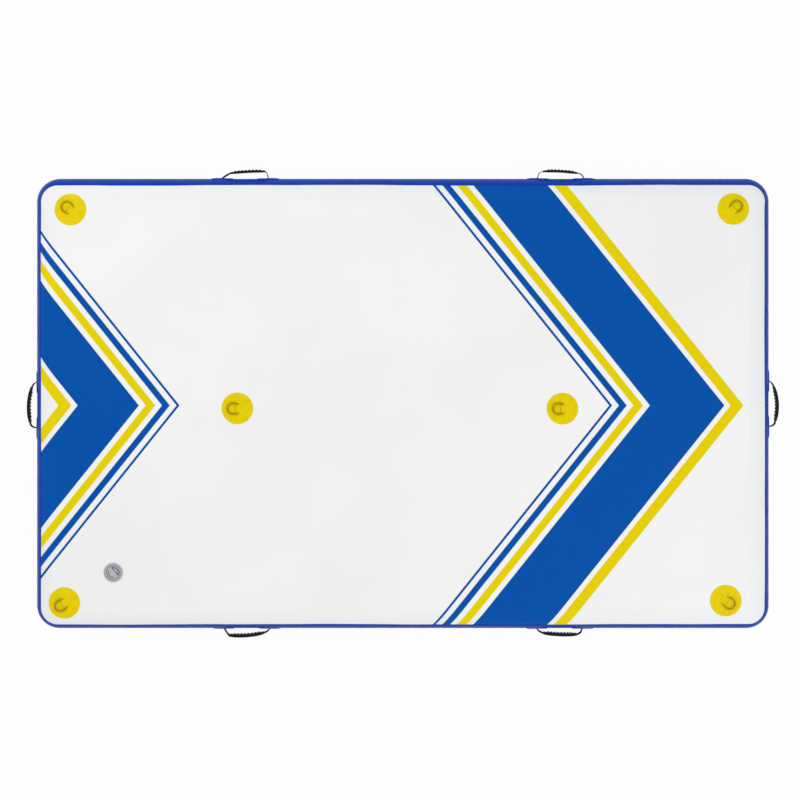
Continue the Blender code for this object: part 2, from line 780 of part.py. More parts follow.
def make_spring():
    """A coil round the stem, from the guide up to the button."""
    low = guide_top + fit_gap + spring_wire_radius
    rise = spring_length - 2 * spring_wire_radius
    count = spring_turns * spring_points_per_turn
    curve = bpy.data.curves.new("valve_spring", "CURVE")
    curve.dimensions = "3D"
    curve.bevel_depth = spring_wire_radius
    curve.bevel_resolution = 1
    curve.use_fill_caps = True
    spline = curve.splines.new("POLY")
    spline.points.add(count)
    for index, point in enumerate(spline.points):
        angle = 2 * math.pi * index / spring_points_per_turn
        height = low + rise * index / count
        point.co = (spring_radius * math.cos(angle), spring_radius * math.sin(angle), height, 1)
    curve.materials.append(material("spring_steel"))
    spring = bpy.data.objects.new("valve_spring", curve)
    spring.location = (valve_x, valve_y, 0)
    bpy.context.scene.collection.objects.link(spring)


def make_cap():
    """A cap that fills the port, with a grip bar across a round recess, and the seal that it presses down."""
    radius = valve_port_radius - cap_gap
    top = flange_top + cap_rise
    floor = top - cap_recess_depth
    underside = floor - cap_floor_thickness
    seal_bottom = ledge_height + fit_gap
    seal_top = seal_bottom + cap_seal_thickness
    skirt_bottom = seal_top + fit_gap
    recess_radius = radius - cap_wall
    profile = (
        (recess_radius, floor),
        (recess_radius, top),
        (radius, top),
        (radius, skirt_bottom),
        (recess_radius, skirt_bottom),
        (recess_radius, underside),
    )
    cap = place_mesh("valve_cap", turned_shape(profile), "cap_plastic", (valve_x, valve_y, 0))
    half = cap_bar_width / 2
    reach = recess_radius + cap_wall / 2
    middle = (floor + underside) / 2
    bar = tool_mesh("cap_bar", box_shape((-reach, -half, middle), (reach, half, top - cap_gap)), (valve_x, valve_y, 0))
    bar.rotation_euler = (0, 0, cap_bar_bearing)
    combine(cap, bar, "UNION")
    seal_outer = valve_port_radius - cap_gap
    make_ring_piece("valve_cap_seal", "seal_rubber", seal_outer - cap_seal_width, seal_outer, seal_bottom, seal_top)


def make_valve():
    make_valve_body()
    seal_bottom = chamber_height + fit_gap
    seal_top = seal_bottom + valve_seal_thickness
    bore = valve_neck_radius + fit_gap
    seal_radius = valve_flange_radius - valve_seal_thickness
    make_ring_piece("valve_seal", "seal_rubber", bore, seal_radius, seal_bottom, seal_top)
    nut_top = chamber_radius + inner_layer_radius - core_cloth_thickness - fit_gap
    make_ring_piece("valve_nut", "valve_plastic", bore, valve_nut_radius, nut_top - valve_nut_height, nut_top)
    make_stem()
    make_spring()
    make_cap()


def main():
    for old in list(bpy.data.objects):
        bpy.data.objects.remove(old, do_unlink=True)
    make_chamber()
    make_rings()
    make_handles()
    make_valve()


main()
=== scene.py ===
"""Looks for the inflatable dock platform: skins, print, patches, rings, webbing handles, grips and valve.

Units are metres in the part's own frame: +X along the long side, +Y to the back, +Z up through the deck.
"""

import json
import math

import bmesh
import bpy
from mathutils import Matrix, Vector


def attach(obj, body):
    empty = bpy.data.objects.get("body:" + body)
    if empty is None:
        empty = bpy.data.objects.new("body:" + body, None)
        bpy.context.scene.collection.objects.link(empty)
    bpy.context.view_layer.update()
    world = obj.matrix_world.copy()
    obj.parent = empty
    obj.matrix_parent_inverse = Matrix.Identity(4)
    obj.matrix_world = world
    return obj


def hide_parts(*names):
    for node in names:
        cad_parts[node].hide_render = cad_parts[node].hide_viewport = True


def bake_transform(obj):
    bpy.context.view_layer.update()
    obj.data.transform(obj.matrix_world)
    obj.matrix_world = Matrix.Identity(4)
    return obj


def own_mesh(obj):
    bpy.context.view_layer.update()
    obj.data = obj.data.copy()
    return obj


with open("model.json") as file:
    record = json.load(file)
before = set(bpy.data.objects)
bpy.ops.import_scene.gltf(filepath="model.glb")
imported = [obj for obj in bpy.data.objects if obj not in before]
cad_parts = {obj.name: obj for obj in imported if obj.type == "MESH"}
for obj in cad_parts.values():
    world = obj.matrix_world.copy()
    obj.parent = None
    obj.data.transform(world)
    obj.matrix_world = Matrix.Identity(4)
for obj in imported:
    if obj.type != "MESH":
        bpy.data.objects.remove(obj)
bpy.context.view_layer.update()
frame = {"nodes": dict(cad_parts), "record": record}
UP = Vector((0, 0, 1))

# Chamber
chamber_height = 0.150
chamber_radius = chamber_height / 2
half_length = 1.220
half_width = 0.749
deck_corner_radius = 0.002
corner_centre_x = half_length - chamber_radius - deck_corner_radius
corner_centre_y = half_width - chamber_radius - deck_corner_radius
flat_x = corner_centre_x + deck_corner_radius
flat_y = corner_centre_y + deck_corner_radius
skin_thickness = 0.0011
rail_thickness = 0.0009
rail_edge_angle = math.radians(44.5)
corner_steps = 18

# Ring patches and rings
ring_places = (
    ("back_left", -0.898, 0.8623, 143),
    ("back_right", 0.8926, 0.8643, 44),
    ("front_left", -0.9148, -0.8697, 213),
    ("front_right", 0.8723, -0.8593, -36),
    ("mid_left", -0.447, -0.013, 180),
    ("mid_right", 0.4311, -0.014, 180),
)
bar_height = 0.15645
wire_radius = 0.00225
bow_radius = 0.0180
ring_depth = 0.0325
ring_bend_radius = 0.0030
ring_leg_angle = math.radians(8)

# Handles: side, place along it, the grip's two ends and middle, how straight each strap end runs, ridge side
handle_span = 0.153
handle_reach = 0.024
strap_width = 0.020
strap_thickness = 0.0020
handle_places = (
    ("back_left", "back", -0.4316, ((-0.66, 0.81), (0.08, 1.02), (0.88, 1.06)), (0.9, 0.5), 1, (9, 0)),
    ("back_right", "back", 0.4322, ((-0.76, 1.07), (-0.03, 1.07), (0.74, 0.82)), (0.2, 0.3), 1, (0, 0)),
    ("front_left", "front", -0.4268, ((-0.79, 1.12), (0.00, 1.16), (0.73, 0.78)), (0.9, 0.6), -1, (0, 4)),
    ("front_right", "front", 0.4287, ((-0.70, 0.82), (0.04, 1.03), (0.75, 0.99)), (0.6, 0.3), -1, (4, 0)),
    ("left", "left", -0.0046, ((-0.76, 1.07), (-0.06, 1.30), (0.76, 0.86)), (0.1, 0.6), -1, (0, 3)),
    ("right", "right", -0.0011, ((-0.74, 1.04), (-0.06, 1.31), (0.72, 0.85)), (0.1, 0.6), -1, (0, 3)),
)
grip_ridges = 10

# Valve
valve_at = Vector((-0.7822 * half_length, -0.7349 * half_width, 0))
flange_bottom = 0.1516
flange_top = 0.1540
body_bottom = 0.1096
ledge_height = 0.1390


# Materials


def srgb(red, green, blue):
    """A colour as the eye reads it, 0 to 255, in a shader's linear values."""
    return (*(((value / 255 + 0.055) / 1.055) ** 2.4 if value > 10 else value / 255 / 12.92 for value in (red, green, blue)), 1)


class Paint:
    """One material: a Principled shader and the nodes that feed it."""

    def __init__(self, name, colour, roughness, metallic=0.0, **constants):
        self.material = bpy.data.materials.new(name)
        self.material.use_nodes = True
        self.tree = self.material.node_tree
        self.shader = self.tree.nodes["Principled BSDF"]
        self.give("Base Color", colour)
        self.give("Roughness", roughness)
        self.give("Metallic", metallic)
        for socket, value in constants.items():
            self.give(socket.replace("_", " "), value)
        coordinates = self.tree.nodes.new("ShaderNodeTexCoord")
        self.place = coordinates.outputs["Object"]
        self.uv = coordinates.outputs["UV"]

    def give(self, socket, value):
        """Sets one of the shader's inputs to a number, a colour or another node's output."""
        self.feed(self.shader.inputs[socket], value)

    def feed(self, socket, value):
        if isinstance(value, bpy.types.NodeSocket):
            self.tree.links.new(value, socket)
        elif value is not None:
            socket.default_value = value

    def split(self, vector):
        node = self.tree.nodes.new("ShaderNodeSeparateXYZ")
        self.feed(node.inputs[0], vector)
        return node.outputs

    def calc(self, operation, *values):
        node = self.tree.nodes.new("ShaderNodeMath")
        node.operation = operation
        for socket, value in zip(node.inputs, values):
            self.feed(socket, value)
        return node.outputs[0]

    def ramp(self, value, low, high, out_low=0.0, out_high=1.0):
        """value's range low to high turned smoothly into another range."""
        node = self.tree.nodes.new("ShaderNodeMapRange")
        node.interpolation_type = "SMOOTHSTEP"
        for socket, number in zip(node.inputs, (value, low, high, out_low, out_high)):
            self.feed(socket, number)
        return node.outputs[0]

    def noise(self, scale, detail=2.0, vector=None, roughness=0.5):
        node = self.tree.nodes.new("ShaderNodeTexNoise")
        self.feed(node.inputs["Vector"], vector or self.place)
        self.feed(node.inputs["Scale"], scale)
        self.feed(node.inputs["Detail"], detail)
        self.feed(node.inputs["Roughness"], roughness)
        return node.outputs[0]

    def cells(self, scale, vector=None, feature="F1"):
        node = self.tree.nodes.new("ShaderNodeTexVoronoi")
        node.feature = feature
        self.feed(node.inputs["Vector"], vector or self.place)
        self.feed(node.inputs["Scale"], scale)
        return node.outputs["Distance"]

    def wave(self, value, pitch, phase=0.0):
        """A cosine of that pitch, from 0 to 1."""
        turned = self.calc("MULTIPLY_ADD", value, 2 * math.pi / pitch, phase)
        return self.calc("MULTIPLY_ADD", self.calc("COSINE", turned), 0.5, 0.5)

    def mix(self, factor, first, second, blend="MIX"):
        node = self.tree.nodes.new("ShaderNodeMix")
        node.data_type = "RGBA"
        node.blend_type = blend
        self.feed(node.inputs[0], factor)
        self.feed(node.inputs[6], first)
        self.feed(node.inputs[7], second)
        return node.outputs[2]

    def bump(self, height, distance, strength=1.0, under=None):
        """height is in shares of distance, which is in metres."""
        node = self.tree.nodes.new("ShaderNodeBump")
        self.feed(node.inputs["Strength"], strength)
        self.feed(node.inputs["Distance"], distance)
        self.feed(node.inputs["Height"], height)
        if under is not None:
            self.feed(node.inputs["Normal"], under)
        self.give("Normal", node.outputs[0])
        return node.outputs[0]


WHITE = srgb(240, 240, 240)
PRINT_BLUE = srgb(0, 82, 170)
PRINT_YELLOW = srgb(233, 210, 0)
RAIL_BLUE = srgb(0, 60, 168)
RAIL_SHADE = srgb(0, 42, 132)
PATCH_YELLOW = srgb(233, 210, 0)

# The print: stripes by their place across a chevron, from its tip's side, as (start, end, colour)
CHEVRON_SLOPE = 0.80
CHEVRONS = (
    (-1.135, -1.092, PRINT_YELLOW),
    (-1.072, -0.870, PRINT_BLUE),
    (-0.848, -0.816, PRINT_YELLOW),
    (-0.794, -0.768, PRINT_BLUE),
    (-0.746, -0.736, PRINT_BLUE),
    (0.680, 0.690, PRINT_BLUE),
    (0.712, 0.738, PRINT_BLUE),
    (0.760, 0.792, PRINT_YELLOW),
    (0.814, 1.060, PRINT_BLUE),
    (1.080, 1.123, PRINT_YELLOW),
)


def chevron_print(paint, ground):
    """Nested chevrons at both ends of the deck, on the ground colour."""
    x, y, _ = paint.split(paint.place)
    across = paint.calc("MULTIPLY_ADD", paint.calc("ABSOLUTE", y), CHEVRON_SLOPE, x)
    colour = ground
    for start, end, ink in CHEVRONS:
        inside = paint.calc("MULTIPLY", paint.calc("GREATER_THAN", across, start), paint.calc("LESS_THAN", across, end))
        colour = paint.mix(inside, colour, ink)
    return colour


def edge_distance(paint):
    """Metres outside the edge of the deck's flat part, and negative inside it."""
    x, y, _ = paint.split(paint.place)
    over = []
    for value, half in ((x, flat_x), (y, flat_y)):
        over.append(paint.calc("SUBTRACT", paint.calc("ABSOLUTE", value), half - deck_corner_radius))
    outside = [paint.calc("MAXIMUM", value, 0.0) for value in over]
    squares = [paint.calc("MULTIPLY", value, value) for value in outside]
    length = paint.calc("SQRT", paint.calc("ADD", *squares))
    inside = paint.calc("MINIMUM", paint.calc("MAXIMUM", *over), 0.0)
    return paint.calc("SUBTRACT", paint.calc("ADD", length, inside), deck_corner_radius)


def deck_paint():
    """White PVC with a printed design, embossed with a non-slip weave inside a smooth border."""
    paint = Paint("deck_pvc", WHITE, 0.5, Specular_IOR_Level=0.05)
    edge = edge_distance(paint)
    textured = paint.ramp(edge, -0.0025, 0.0005, 1.0, 0.0)
    x, y, _ = paint.split(paint.place)
    first = paint.wave(paint.calc("ADD", x, y), 0.0050)
    second = paint.wave(paint.calc("SUBTRACT", x, y), 0.0050)
    studs = paint.calc("POWER", paint.calc("MULTIPLY", first, second), 0.6)
    grain = paint.noise(900, 2)
    emboss = paint.calc("MULTIPLY", studs, textured)
    patchy = paint.noise(3.0, 3)
    ground = paint.mix(paint.ramp(patchy, 0.3, 0.7), srgb(243, 243, 243), srgb(247, 247, 247))
    ground = paint.mix(textured, srgb(240, 241, 242), ground)
    inked = chevron_print(paint, ground)
    shade = paint.calc("MULTIPLY", paint.calc("SUBTRACT", 1.0, studs), paint.calc("MULTIPLY", textured, 0.045))
    paint.give("Base Color", paint.mix(shade, inked, srgb(120, 124, 134), "MULTIPLY"))
    paint.give("Roughness", paint.ramp(textured, 0.0, 1.0, 0.44, 0.58))
    under = paint.bump(grain, 0.00006)
    paint.bump(emboss, 0.00022, 0.6, under)
    return paint.material


def pvc_paint(name, colour, dark, roughness=0.38, weave=0.0011, depth=0.00005, gloss=0.12):
    """Smooth coated cloth: the base cloth's grid shows faintly through the coat."""
    paint = Paint(name, colour, roughness, Specular_IOR_Level=gloss)
    u, v, _ = paint.split(paint.uv)
    grid = paint.calc("MULTIPLY", paint.wave(u, weave), paint.wave(v, weave))
    cloudy = paint.noise(9.0, 4)
    paint.give("Base Color", paint.mix(paint.ramp(cloudy, 0.35, 0.75, 0.0, 0.35), colour, dark))
    paint.give("Roughness", paint.ramp(paint.noise(40.0, 3), 0.3, 0.7, roughness - 0.05, roughness + 0.06))
    under = paint.bump(paint.noise(28.0, 3), 0.0005, 0.5)
    paint.bump(grid, depth, 0.8, under)
    return paint.material


def patch_paint():
    """Yellow welded PVC, slightly dished and hand-pressed."""
    paint = Paint("patch_pvc", PATCH_YELLOW, 0.36, Specular_IOR_Level=0.07)
    cloudy = paint.noise(70.0, 3)
    paint.give("Base Color", paint.mix(paint.ramp(cloudy, 0.35, 0.7, 0.0, 0.55), PATCH_YELLOW, srgb(219, 195, 0)))
    paint.give("Roughness", paint.ramp(paint.noise(160.0, 2), 0.3, 0.7, 0.30, 0.42))
    x, y, _ = paint.split(paint.place)
    grid = paint.calc("MULTIPLY", paint.wave(x, 0.0012), paint.wave(y, 0.0012))
    under = paint.bump(paint.noise(55.0, 2), 0.0009, 0.5)
    paint.bump(grid, 0.00006, 0.6, under)
    return paint.material


def webbing_paint():
    """Black webbing: two rows of slanted ribs that meet in herringbones, with a bound edge."""
    paint = Paint("webbing", srgb(12, 10, 12), 0.8, Sheen_Weight=0.06, Sheen_Roughness=0.4, Specular_IOR_Level=0.15)
    u, v, _ = paint.split(paint.uv)
    zigzag = paint.calc("PINGPONG", u, 0.0025)
    ribs = paint.wave(paint.calc("ADD", v, zigzag), 0.0014)
    yarns = paint.wave(u, 0.0010)
    height = paint.calc("MULTIPLY", ribs, paint.calc("MULTIPLY_ADD", yarns, 0.5, 0.5))
    fuzz = paint.noise(2200.0, 2, paint.uv)
    # Painted shade: the webbing is darker in the grooves between ribs and lighter on their tops, as their height goes.
    paint.give("Base Color", paint.mix(height, srgb(4, 3, 4), srgb(20, 17, 19)))
    under = paint.bump(fuzz, 0.00012, 0.6)
    paint.bump(height, 0.00035, 1.0, under)
    return paint.material


def grip_paint():
    """Black moulded grip with a fine spark-eroded grain and a trace of patchy wear."""
    paint = Paint("grip_plastic", srgb(9, 7, 9), 0.5, Specular_IOR_Level=0.16)
    grain = paint.cells(1500.0)
    patchy = paint.noise(45.0, 3)
    paint.give("Base Color", paint.mix(paint.ramp(patchy, 0.45, 0.75, 0.0, 0.6), srgb(7, 5, 7), srgb(20, 16, 18)))
    paint.give("Roughness", paint.ramp(patchy, 0.3, 0.7, 0.44, 0.60))
    under = paint.bump(paint.noise(260.0, 2), 0.0002, 0.5)
    paint.bump(grain, 0.00012, 0.7, under)
    return paint.material


def steel_paint(name, colour, roughness):
    """Polished wire with fine drawing lines and a few rubbed spots."""
    paint = Paint(name, colour, roughness, 1.0)
    rubbed = paint.noise(420.0, 4)
    paint.give("Roughness", paint.ramp(rubbed, 0.35, 0.75, roughness - 0.05, roughness + 0.14))
    paint.give("Base Color", paint.mix(paint.ramp(rubbed, 0.4, 0.8, 0.0, 0.5), colour, srgb(112, 86, 44)))
    paint.bump(paint.noise(1600.0, 2), 0.00002, 0.6)
    return paint.material


def plastic_paint(name, colour, dark, roughness, recess_shade=None):
    """Injection-moulded plastic with slight flow marks, a very fine grain and, where it's given, painted shade in the
    cap's recess: below a height and inside a radius."""
    paint = Paint(name, colour, roughness, Specular_IOR_Level=0.5)
    flow = paint.noise(130.0, 3)
    moulded = paint.mix(paint.ramp(flow, 0.35, 0.75, 0.0, 0.5), colour, dark)
    if recess_shade:
        low, high, radius, shade_tint = recess_shade
        x, y, z = paint.split(paint.place)
        height = paint.calc("MULTIPLY_ADD", paint.noise(300.0, 3), 0.0012, z)
        offsets = [paint.calc("SUBTRACT", value, centre) for value, centre in ((x, valve_at.x), (y, valve_at.y))]
        squares = [paint.calc("MULTIPLY", value, value) for value in offsets]
        distance = paint.calc("SQRT", paint.calc("ADD", *squares))
        inside = paint.ramp(distance, radius, radius + 0.0006, 1.0, 0.0)
        # Painted shade: the cap's recess is darkened below a height and inside a radius, where it lies in shadow.
        shaded = paint.calc("MULTIPLY", paint.ramp(height, low, high, 1.0, 0.0), inside)
        moulded = paint.mix(shaded, moulded, shade_tint)
    paint.give("Base Color", moulded)
    paint.give("Roughness", paint.ramp(flow, 0.3, 0.7, roughness - 0.05, roughness + 0.08))
    paint.bump(paint.noise(1900.0, 2), 0.00003, 0.7)
    return paint.material


def cloth_paint(name, colour, dark):
    """Plain woven cloth, for the hidden core."""
    paint = Paint(name, colour, 0.85)
    x, y, z = paint.split(paint.place)
    weave = paint.calc("MULTIPLY", paint.wave(paint.calc("ADD", x, z), 0.0012), paint.wave(paint.calc("ADD", y, z), 0.0012))
    # Painted shade: the cloth is darker between the yarns and lighter where they cross over.
    paint.give("Base Color", paint.mix(weave, dark, colour))
    paint.bump(weave, 0.0002)
    return paint.material


paints = {
    "white_pvc": deck_paint(),
    "blue_pvc": pvc_paint("rail_pvc", RAIL_BLUE, RAIL_SHADE, gloss=0.07),
    "grey_pvc": pvc_paint("base_pvc", srgb(150, 152, 156), srgb(132, 134, 139), 0.5, 0.0022, 0.00012),
    "yellow_pvc": patch_paint(),
    "webbing": webbing_paint(),
    "moulded_grip": grip_paint(),
    # The ring's gold colour is a painted reflection of the yellow patches round it, on steel wire.
    "steel": steel_paint("ring_steel_painted_reflection", srgb(172, 138, 26), 0.22),
    "spring_steel": steel_paint("coil_steel", srgb(190, 190, 188), 0.25),
    "valve_plastic": plastic_paint("valve_grey", srgb(166, 166, 170), srgb(152, 152, 155), 0.36),
    "cap_plastic": plastic_paint(
        # The last value paints shade into the cap's recess: below a height, inside a radius, in this colour.
        "cap_grey", srgb(182, 180, 190), srgb(166, 164, 174), 0.34, (0.1492, 0.1528, 0.0187, srgb(64, 60, 72))
    ),
    "seal_rubber": plastic_paint("seal_rubber_grain", srgb(38, 38, 40), srgb(28, 28, 30), 0.62),
    "core_cloth": cloth_paint("core_weave", srgb(214, 212, 204), srgb(176, 174, 166)),
}


# Mesh helpers


def put(name, shape, slot, body, nodes=(), angle=math.radians(35), subdivide=0):
    """A piece of this bmesh, in its slot's material, on its body and in place of its CAD nodes."""
    bmesh.ops.recalc_face_normals(shape, faces=shape.faces)
    mesh = bpy.data.meshes.new(name)
    shape.to_mesh(mesh)
    shape.free()
    mesh.shade_smooth()
    mesh.set_sharp_from_angle(angle=angle)
    mesh.materials.append(paints[slot])
    piece = bpy.data.objects.new(name, mesh)
    bpy.context.scene.collection.objects.link(piece)
    if subdivide:
        modifier = piece.modifiers.new("fine", "SUBSURF")
        modifier.levels = subdivide
        modifier.render_levels = subdivide
    if body:
        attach(piece, body)
    if nodes:
        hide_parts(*nodes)
    return piece


def lengths_along(points, closed=False):
    total = [0.0]
    ends = points[1:] + points[:1] if closed else points[1:]
    for first, second in zip(points, ends):
        total.append(total[-1] + (second - first).length)
    return total


def loft(shape, rows, closed_rows=True, closed_loft=False, caps=True):
    """Quads through rows of as many points, with UV in metres: u round the rows, v along them."""
    layer = shape.loops.layers.uv.active or shape.loops.layers.uv.new("UVMap")
    made = [[shape.verts.new(point) for point in row] for row in rows]
    across = lengths_along(rows[len(rows) // 2], closed_rows)
    middle = [sum(row, Vector()) / len(row) for row in rows] if len(rows[0]) < 64 else [row[0] for row in rows]
    along = lengths_along(middle, closed_loft)
    pairs = list(zip(range(len(rows)), [*range(1, len(rows)), 0]))
    for low, high in pairs if closed_loft else pairs[:-1]:
        count = len(rows[0])
        for index in range(count if closed_rows else count - 1):
            after = (index + 1) % count
            face = shape.faces.new((made[low][index], made[low][after], made[high][after], made[high][index]))
            right = across[index + 1]
            left = across[index]
            top = along[low + 1]
            bottom = along[low]
            for loop, place in zip(face.loops, ((left, bottom), (right, bottom), (right, top), (left, top))):
                loop[layer].uv = place
    if caps and not closed_loft:
        shape.faces.new(made[0])
        shape.faces.new(made[-1])
    return made


def turned(profile, steps=96, centre=Vector((0, 0, 0)), closed=False):
    """A profile of (radius, height) turned about an upright axis."""
    rows = []
    for radius, height in profile:
        row = []
        for step in range(steps):
            angle = 2 * math.pi * step / steps
            row.append(centre + Vector((radius * math.cos(angle), radius * math.sin(angle), height)))
        rows.append(row)
    shape = bmesh.new()
    loft(shape, rows, closed_loft=closed)
    return shape


def fillet(points, radii, steps=5, closed=False):
    """The profile's corners rounded by their radii."""
    out = []
    count = len(points)
    for index, point in enumerate(points):
        radius = radii[index] if isinstance(radii, (list, tuple)) else radii
        if not radius or (not closed and index in (0, count - 1)):
            out.append(point)
            continue
        before = Vector(points[index - 1]) - Vector(point)
        after = Vector(points[(index + 1) % count]) - Vector(point)
        reach = min(radius, before.length / 2.2, after.length / 2.2)
        start = Vector(point) + before.normalized() * reach
        end = Vector(point) + after.normalized() * reach
        for step in range(steps + 1):
            share = step / steps
            mid = Vector(point)
            place = start.lerp(mid, share).lerp(mid.lerp(end, share), share)
            out.append(tuple(place))
    return out


def smoothstep(low, high, value):
    share = min(1.0, max(0.0, (value - low) / (high - low)))
    return share * share * (3 - 2 * share)


# The chamber's skins


def make_plan(straight_steps):
    """The deck's outline as (foot, direction) pairs: a point at some reach is foot + direction * reach."""
    plan = []
    centres = [Vector((x * corner_centre_x, y * corner_centre_y, 0)) for x, y in ((1, 1), (-1, 1), (-1, -1), (1, -1))]
    for corner, centre in enumerate(centres):
        for step in range(corner_steps + 1):
            turn = (corner + step / corner_steps) * math.pi / 2
            direction = Vector((math.cos(turn), math.sin(turn), 0))
            plan.append((centre + direction * deck_corner_radius, direction))
        after = centres[(corner + 1) % 4]
        for step in range(1, straight_steps):
            foot = centre.lerp(after, step / straight_steps) + direction * deck_corner_radius
            plan.append((foot, direction))
    return plan


coarse_plan = make_plan(1)
fine_plan = make_plan(64)


def plan_points(reach, height):
    return [foot + direction * reach + UP * height for foot, direction in coarse_plan]


def plan_row(radius, angle):
    """The chamber's outline at an angle from straight up round its edge, at a radius from the edge's centre line."""
    return plan_points(radius * math.sin(angle), chamber_radius + radius * math.cos(angle))


def fill_between(shape, outer, inner):
    """Triangles between an outer loop of points and an optional hole's loop, both of existing verts."""
    edges = []
    for loop in filter(None, (outer, inner)):
        for index, vert in enumerate(loop):
            pair = (vert, loop[(index + 1) % len(loop)])
            edges.append(shape.edges.get(pair) or shape.edges.new(pair))
    bmesh.ops.triangle_fill(shape, edges=edges, use_beauty=True, normal=UP)


def sheet_piece(name, slot, node, over, hole_radius=0.0):
    """A deck or base skin: flat, rolled over the shoulder and run on under the side wall's lap."""
    last = math.radians(58)
    steps = 20
    angles = [last * step / steps for step in range(steps + 1)]
    flats = (-0.0016, -0.0008)
    shape = bmesh.new()
    outer = [plan_points(reach, chamber_height) for reach in flats]
    outer += [plan_row(chamber_radius, angle) for angle in angles]
    inner = [plan_row(chamber_radius - skin_thickness, angle) for angle in reversed(angles)]
    inner += [plan_points(reach, chamber_height - skin_thickness) for reach in reversed(flats)]
    made = loft(shape, outer + inner, caps=False)
    holes = [None, None]
    if hole_radius:
        rows = []
        for height in (chamber_height, chamber_height - skin_thickness):
            row = []
            for step in range(64):
                turn = 2 * math.pi * step / 64
                row.append(valve_at + Vector((hole_radius * math.cos(turn), hole_radius * math.sin(turn), height)))
            rows.append(row)
        holes = loft(shape, rows, caps=False)
    fill_between(shape, made[0], holes[0])
    fill_between(shape, made[-1], holes[1])
    if not over:
        bmesh.ops.transform(shape, matrix=Matrix.Diagonal((1, 1, -1, 1)), verts=shape.verts)
        bmesh.ops.translate(shape, vec=(0, 0, chamber_height), verts=shape.verts)
    return put(name, shape, slot, "dock", (node,))


def lap_wave(distance, phase):
    """How far a hand-glued lap edge strays from its line, as an angle round the chamber's edge."""
    waves = ((0.021, 1.31, 0.4), (0.009, 0.47, 1.9), (0.004, 0.19, 0.7))
    return sum(size * math.sin(2 * math.pi * distance / length + start + phase) for size, length, start in waves)


def rail_piece():
    """The blue side wall, lapped over both skins by edges that wander a little, with slight gathers at the corners."""
    edge = rail_edge_angle
    steps = 44
    inner = chamber_radius + 0.00004
    outer = chamber_radius + rail_thickness
    lap = 0.0012 / chamber_radius
    section = [
        (inner, edge),
        (inner + rail_thickness * 0.5, edge - lap * 0.15),
        (outer - rail_thickness * 0.12, edge + lap * 0.3),
    ]
    section += [(outer, edge + lap + (math.pi - 2 * edge - 2 * lap) * step / steps) for step in range(steps + 1)]
    section += [(radius, math.pi - angle) for radius, angle in reversed(section[:3])]
    section += [(inner, edge + (math.pi - 2 * edge) * step / 8) for step in range(7, 0, -1)]
    along = lengths_along([foot + direction * chamber_radius for foot, direction in fine_plan])
    rows = []
    for radius, angle in section:
        near_top = math.exp(-(((angle - edge) / 0.30) ** 2))
        near_base = math.exp(-(((math.pi - angle - edge) / 0.30) ** 2))
        near_lap = max(near_top, near_base) if radius > inner else 0
        row = []
        for (foot, direction), distance in zip(fine_plan, along):
            strayed = angle + lap_wave(distance, 0) * near_top + lap_wave(distance, 2.5) * near_base
            corner_share = math.sin(2 * math.atan2(abs(direction.y), abs(direction.x)))
            turn = math.atan2(abs(direction.y), abs(direction.x)) / (math.pi / 2)
            gather = 0.0005 * corner_share * math.sin(math.pi * 9 * turn) * near_lap
            reach = (radius + gather) * math.sin(strayed)
            row.append(foot + direction * reach + UP * (chamber_radius + (radius + gather) * math.cos(strayed)))
        rows.append(row)
    shape = bmesh.new()
    loft(shape, rows, closed_loft=True)
    return put("side_wall_skin", shape, "blue_pvc", "dock", ("side_wall",))


# Ring patches, covers, tabs and rings


def bow_frame(degrees):
    bearing = math.radians(degrees)
    bow = Vector((math.cos(bearing), math.sin(bearing), 0))
    return bow.cross(UP), bow


def deck_height(x, y):
    over_x = max(abs(x) - corner_centre_x, 0)
    over_y = max(abs(y) - corner_centre_y, 0)
    reach = max(math.hypot(over_x, over_y) - deck_corner_radius, 0)
    return chamber_radius + math.sqrt(chamber_radius**2 - reach**2)


def disc_piece(name, x, y, node):
    """Two welded round layers: a flange with a bevelled, slightly dished rim and a thicker inner disc."""
    profile = (
        (0.0520, -0.00005),
        (0.0520, 0.00035),
        (0.0517, 0.00070),
        (0.0511, 0.00092),
        (0.0500, 0.00100),
        (0.0475, 0.00086),
        (0.0440, 0.00080),
        (0.0405, 0.00088),
        (0.0386, 0.00100),
        (0.0382, 0.00135),
        (0.0377, 0.00166),
        (0.0368, 0.00180),
        (0.0352, 0.00170),
        (0.0335, 0.00166),
        (0.0300, 0.00176),
        (0.0200, 0.00180),
        (0.0080, 0.00180),
    )
    rows = []
    for radius, lift in profile:
        row = []
        for step in range(96):
            turn = 2 * math.pi * step / 96
            px = x + radius * math.cos(turn)
            py = y + radius * math.sin(turn)
            row.append(Vector((px, py, deck_height(px, py) + 0.0003 + lift)))
        rows.append(row)
    shape = bmesh.new()
    loft(shape, rows)
    return put(name, shape, "yellow_pvc", "dock", (node,))


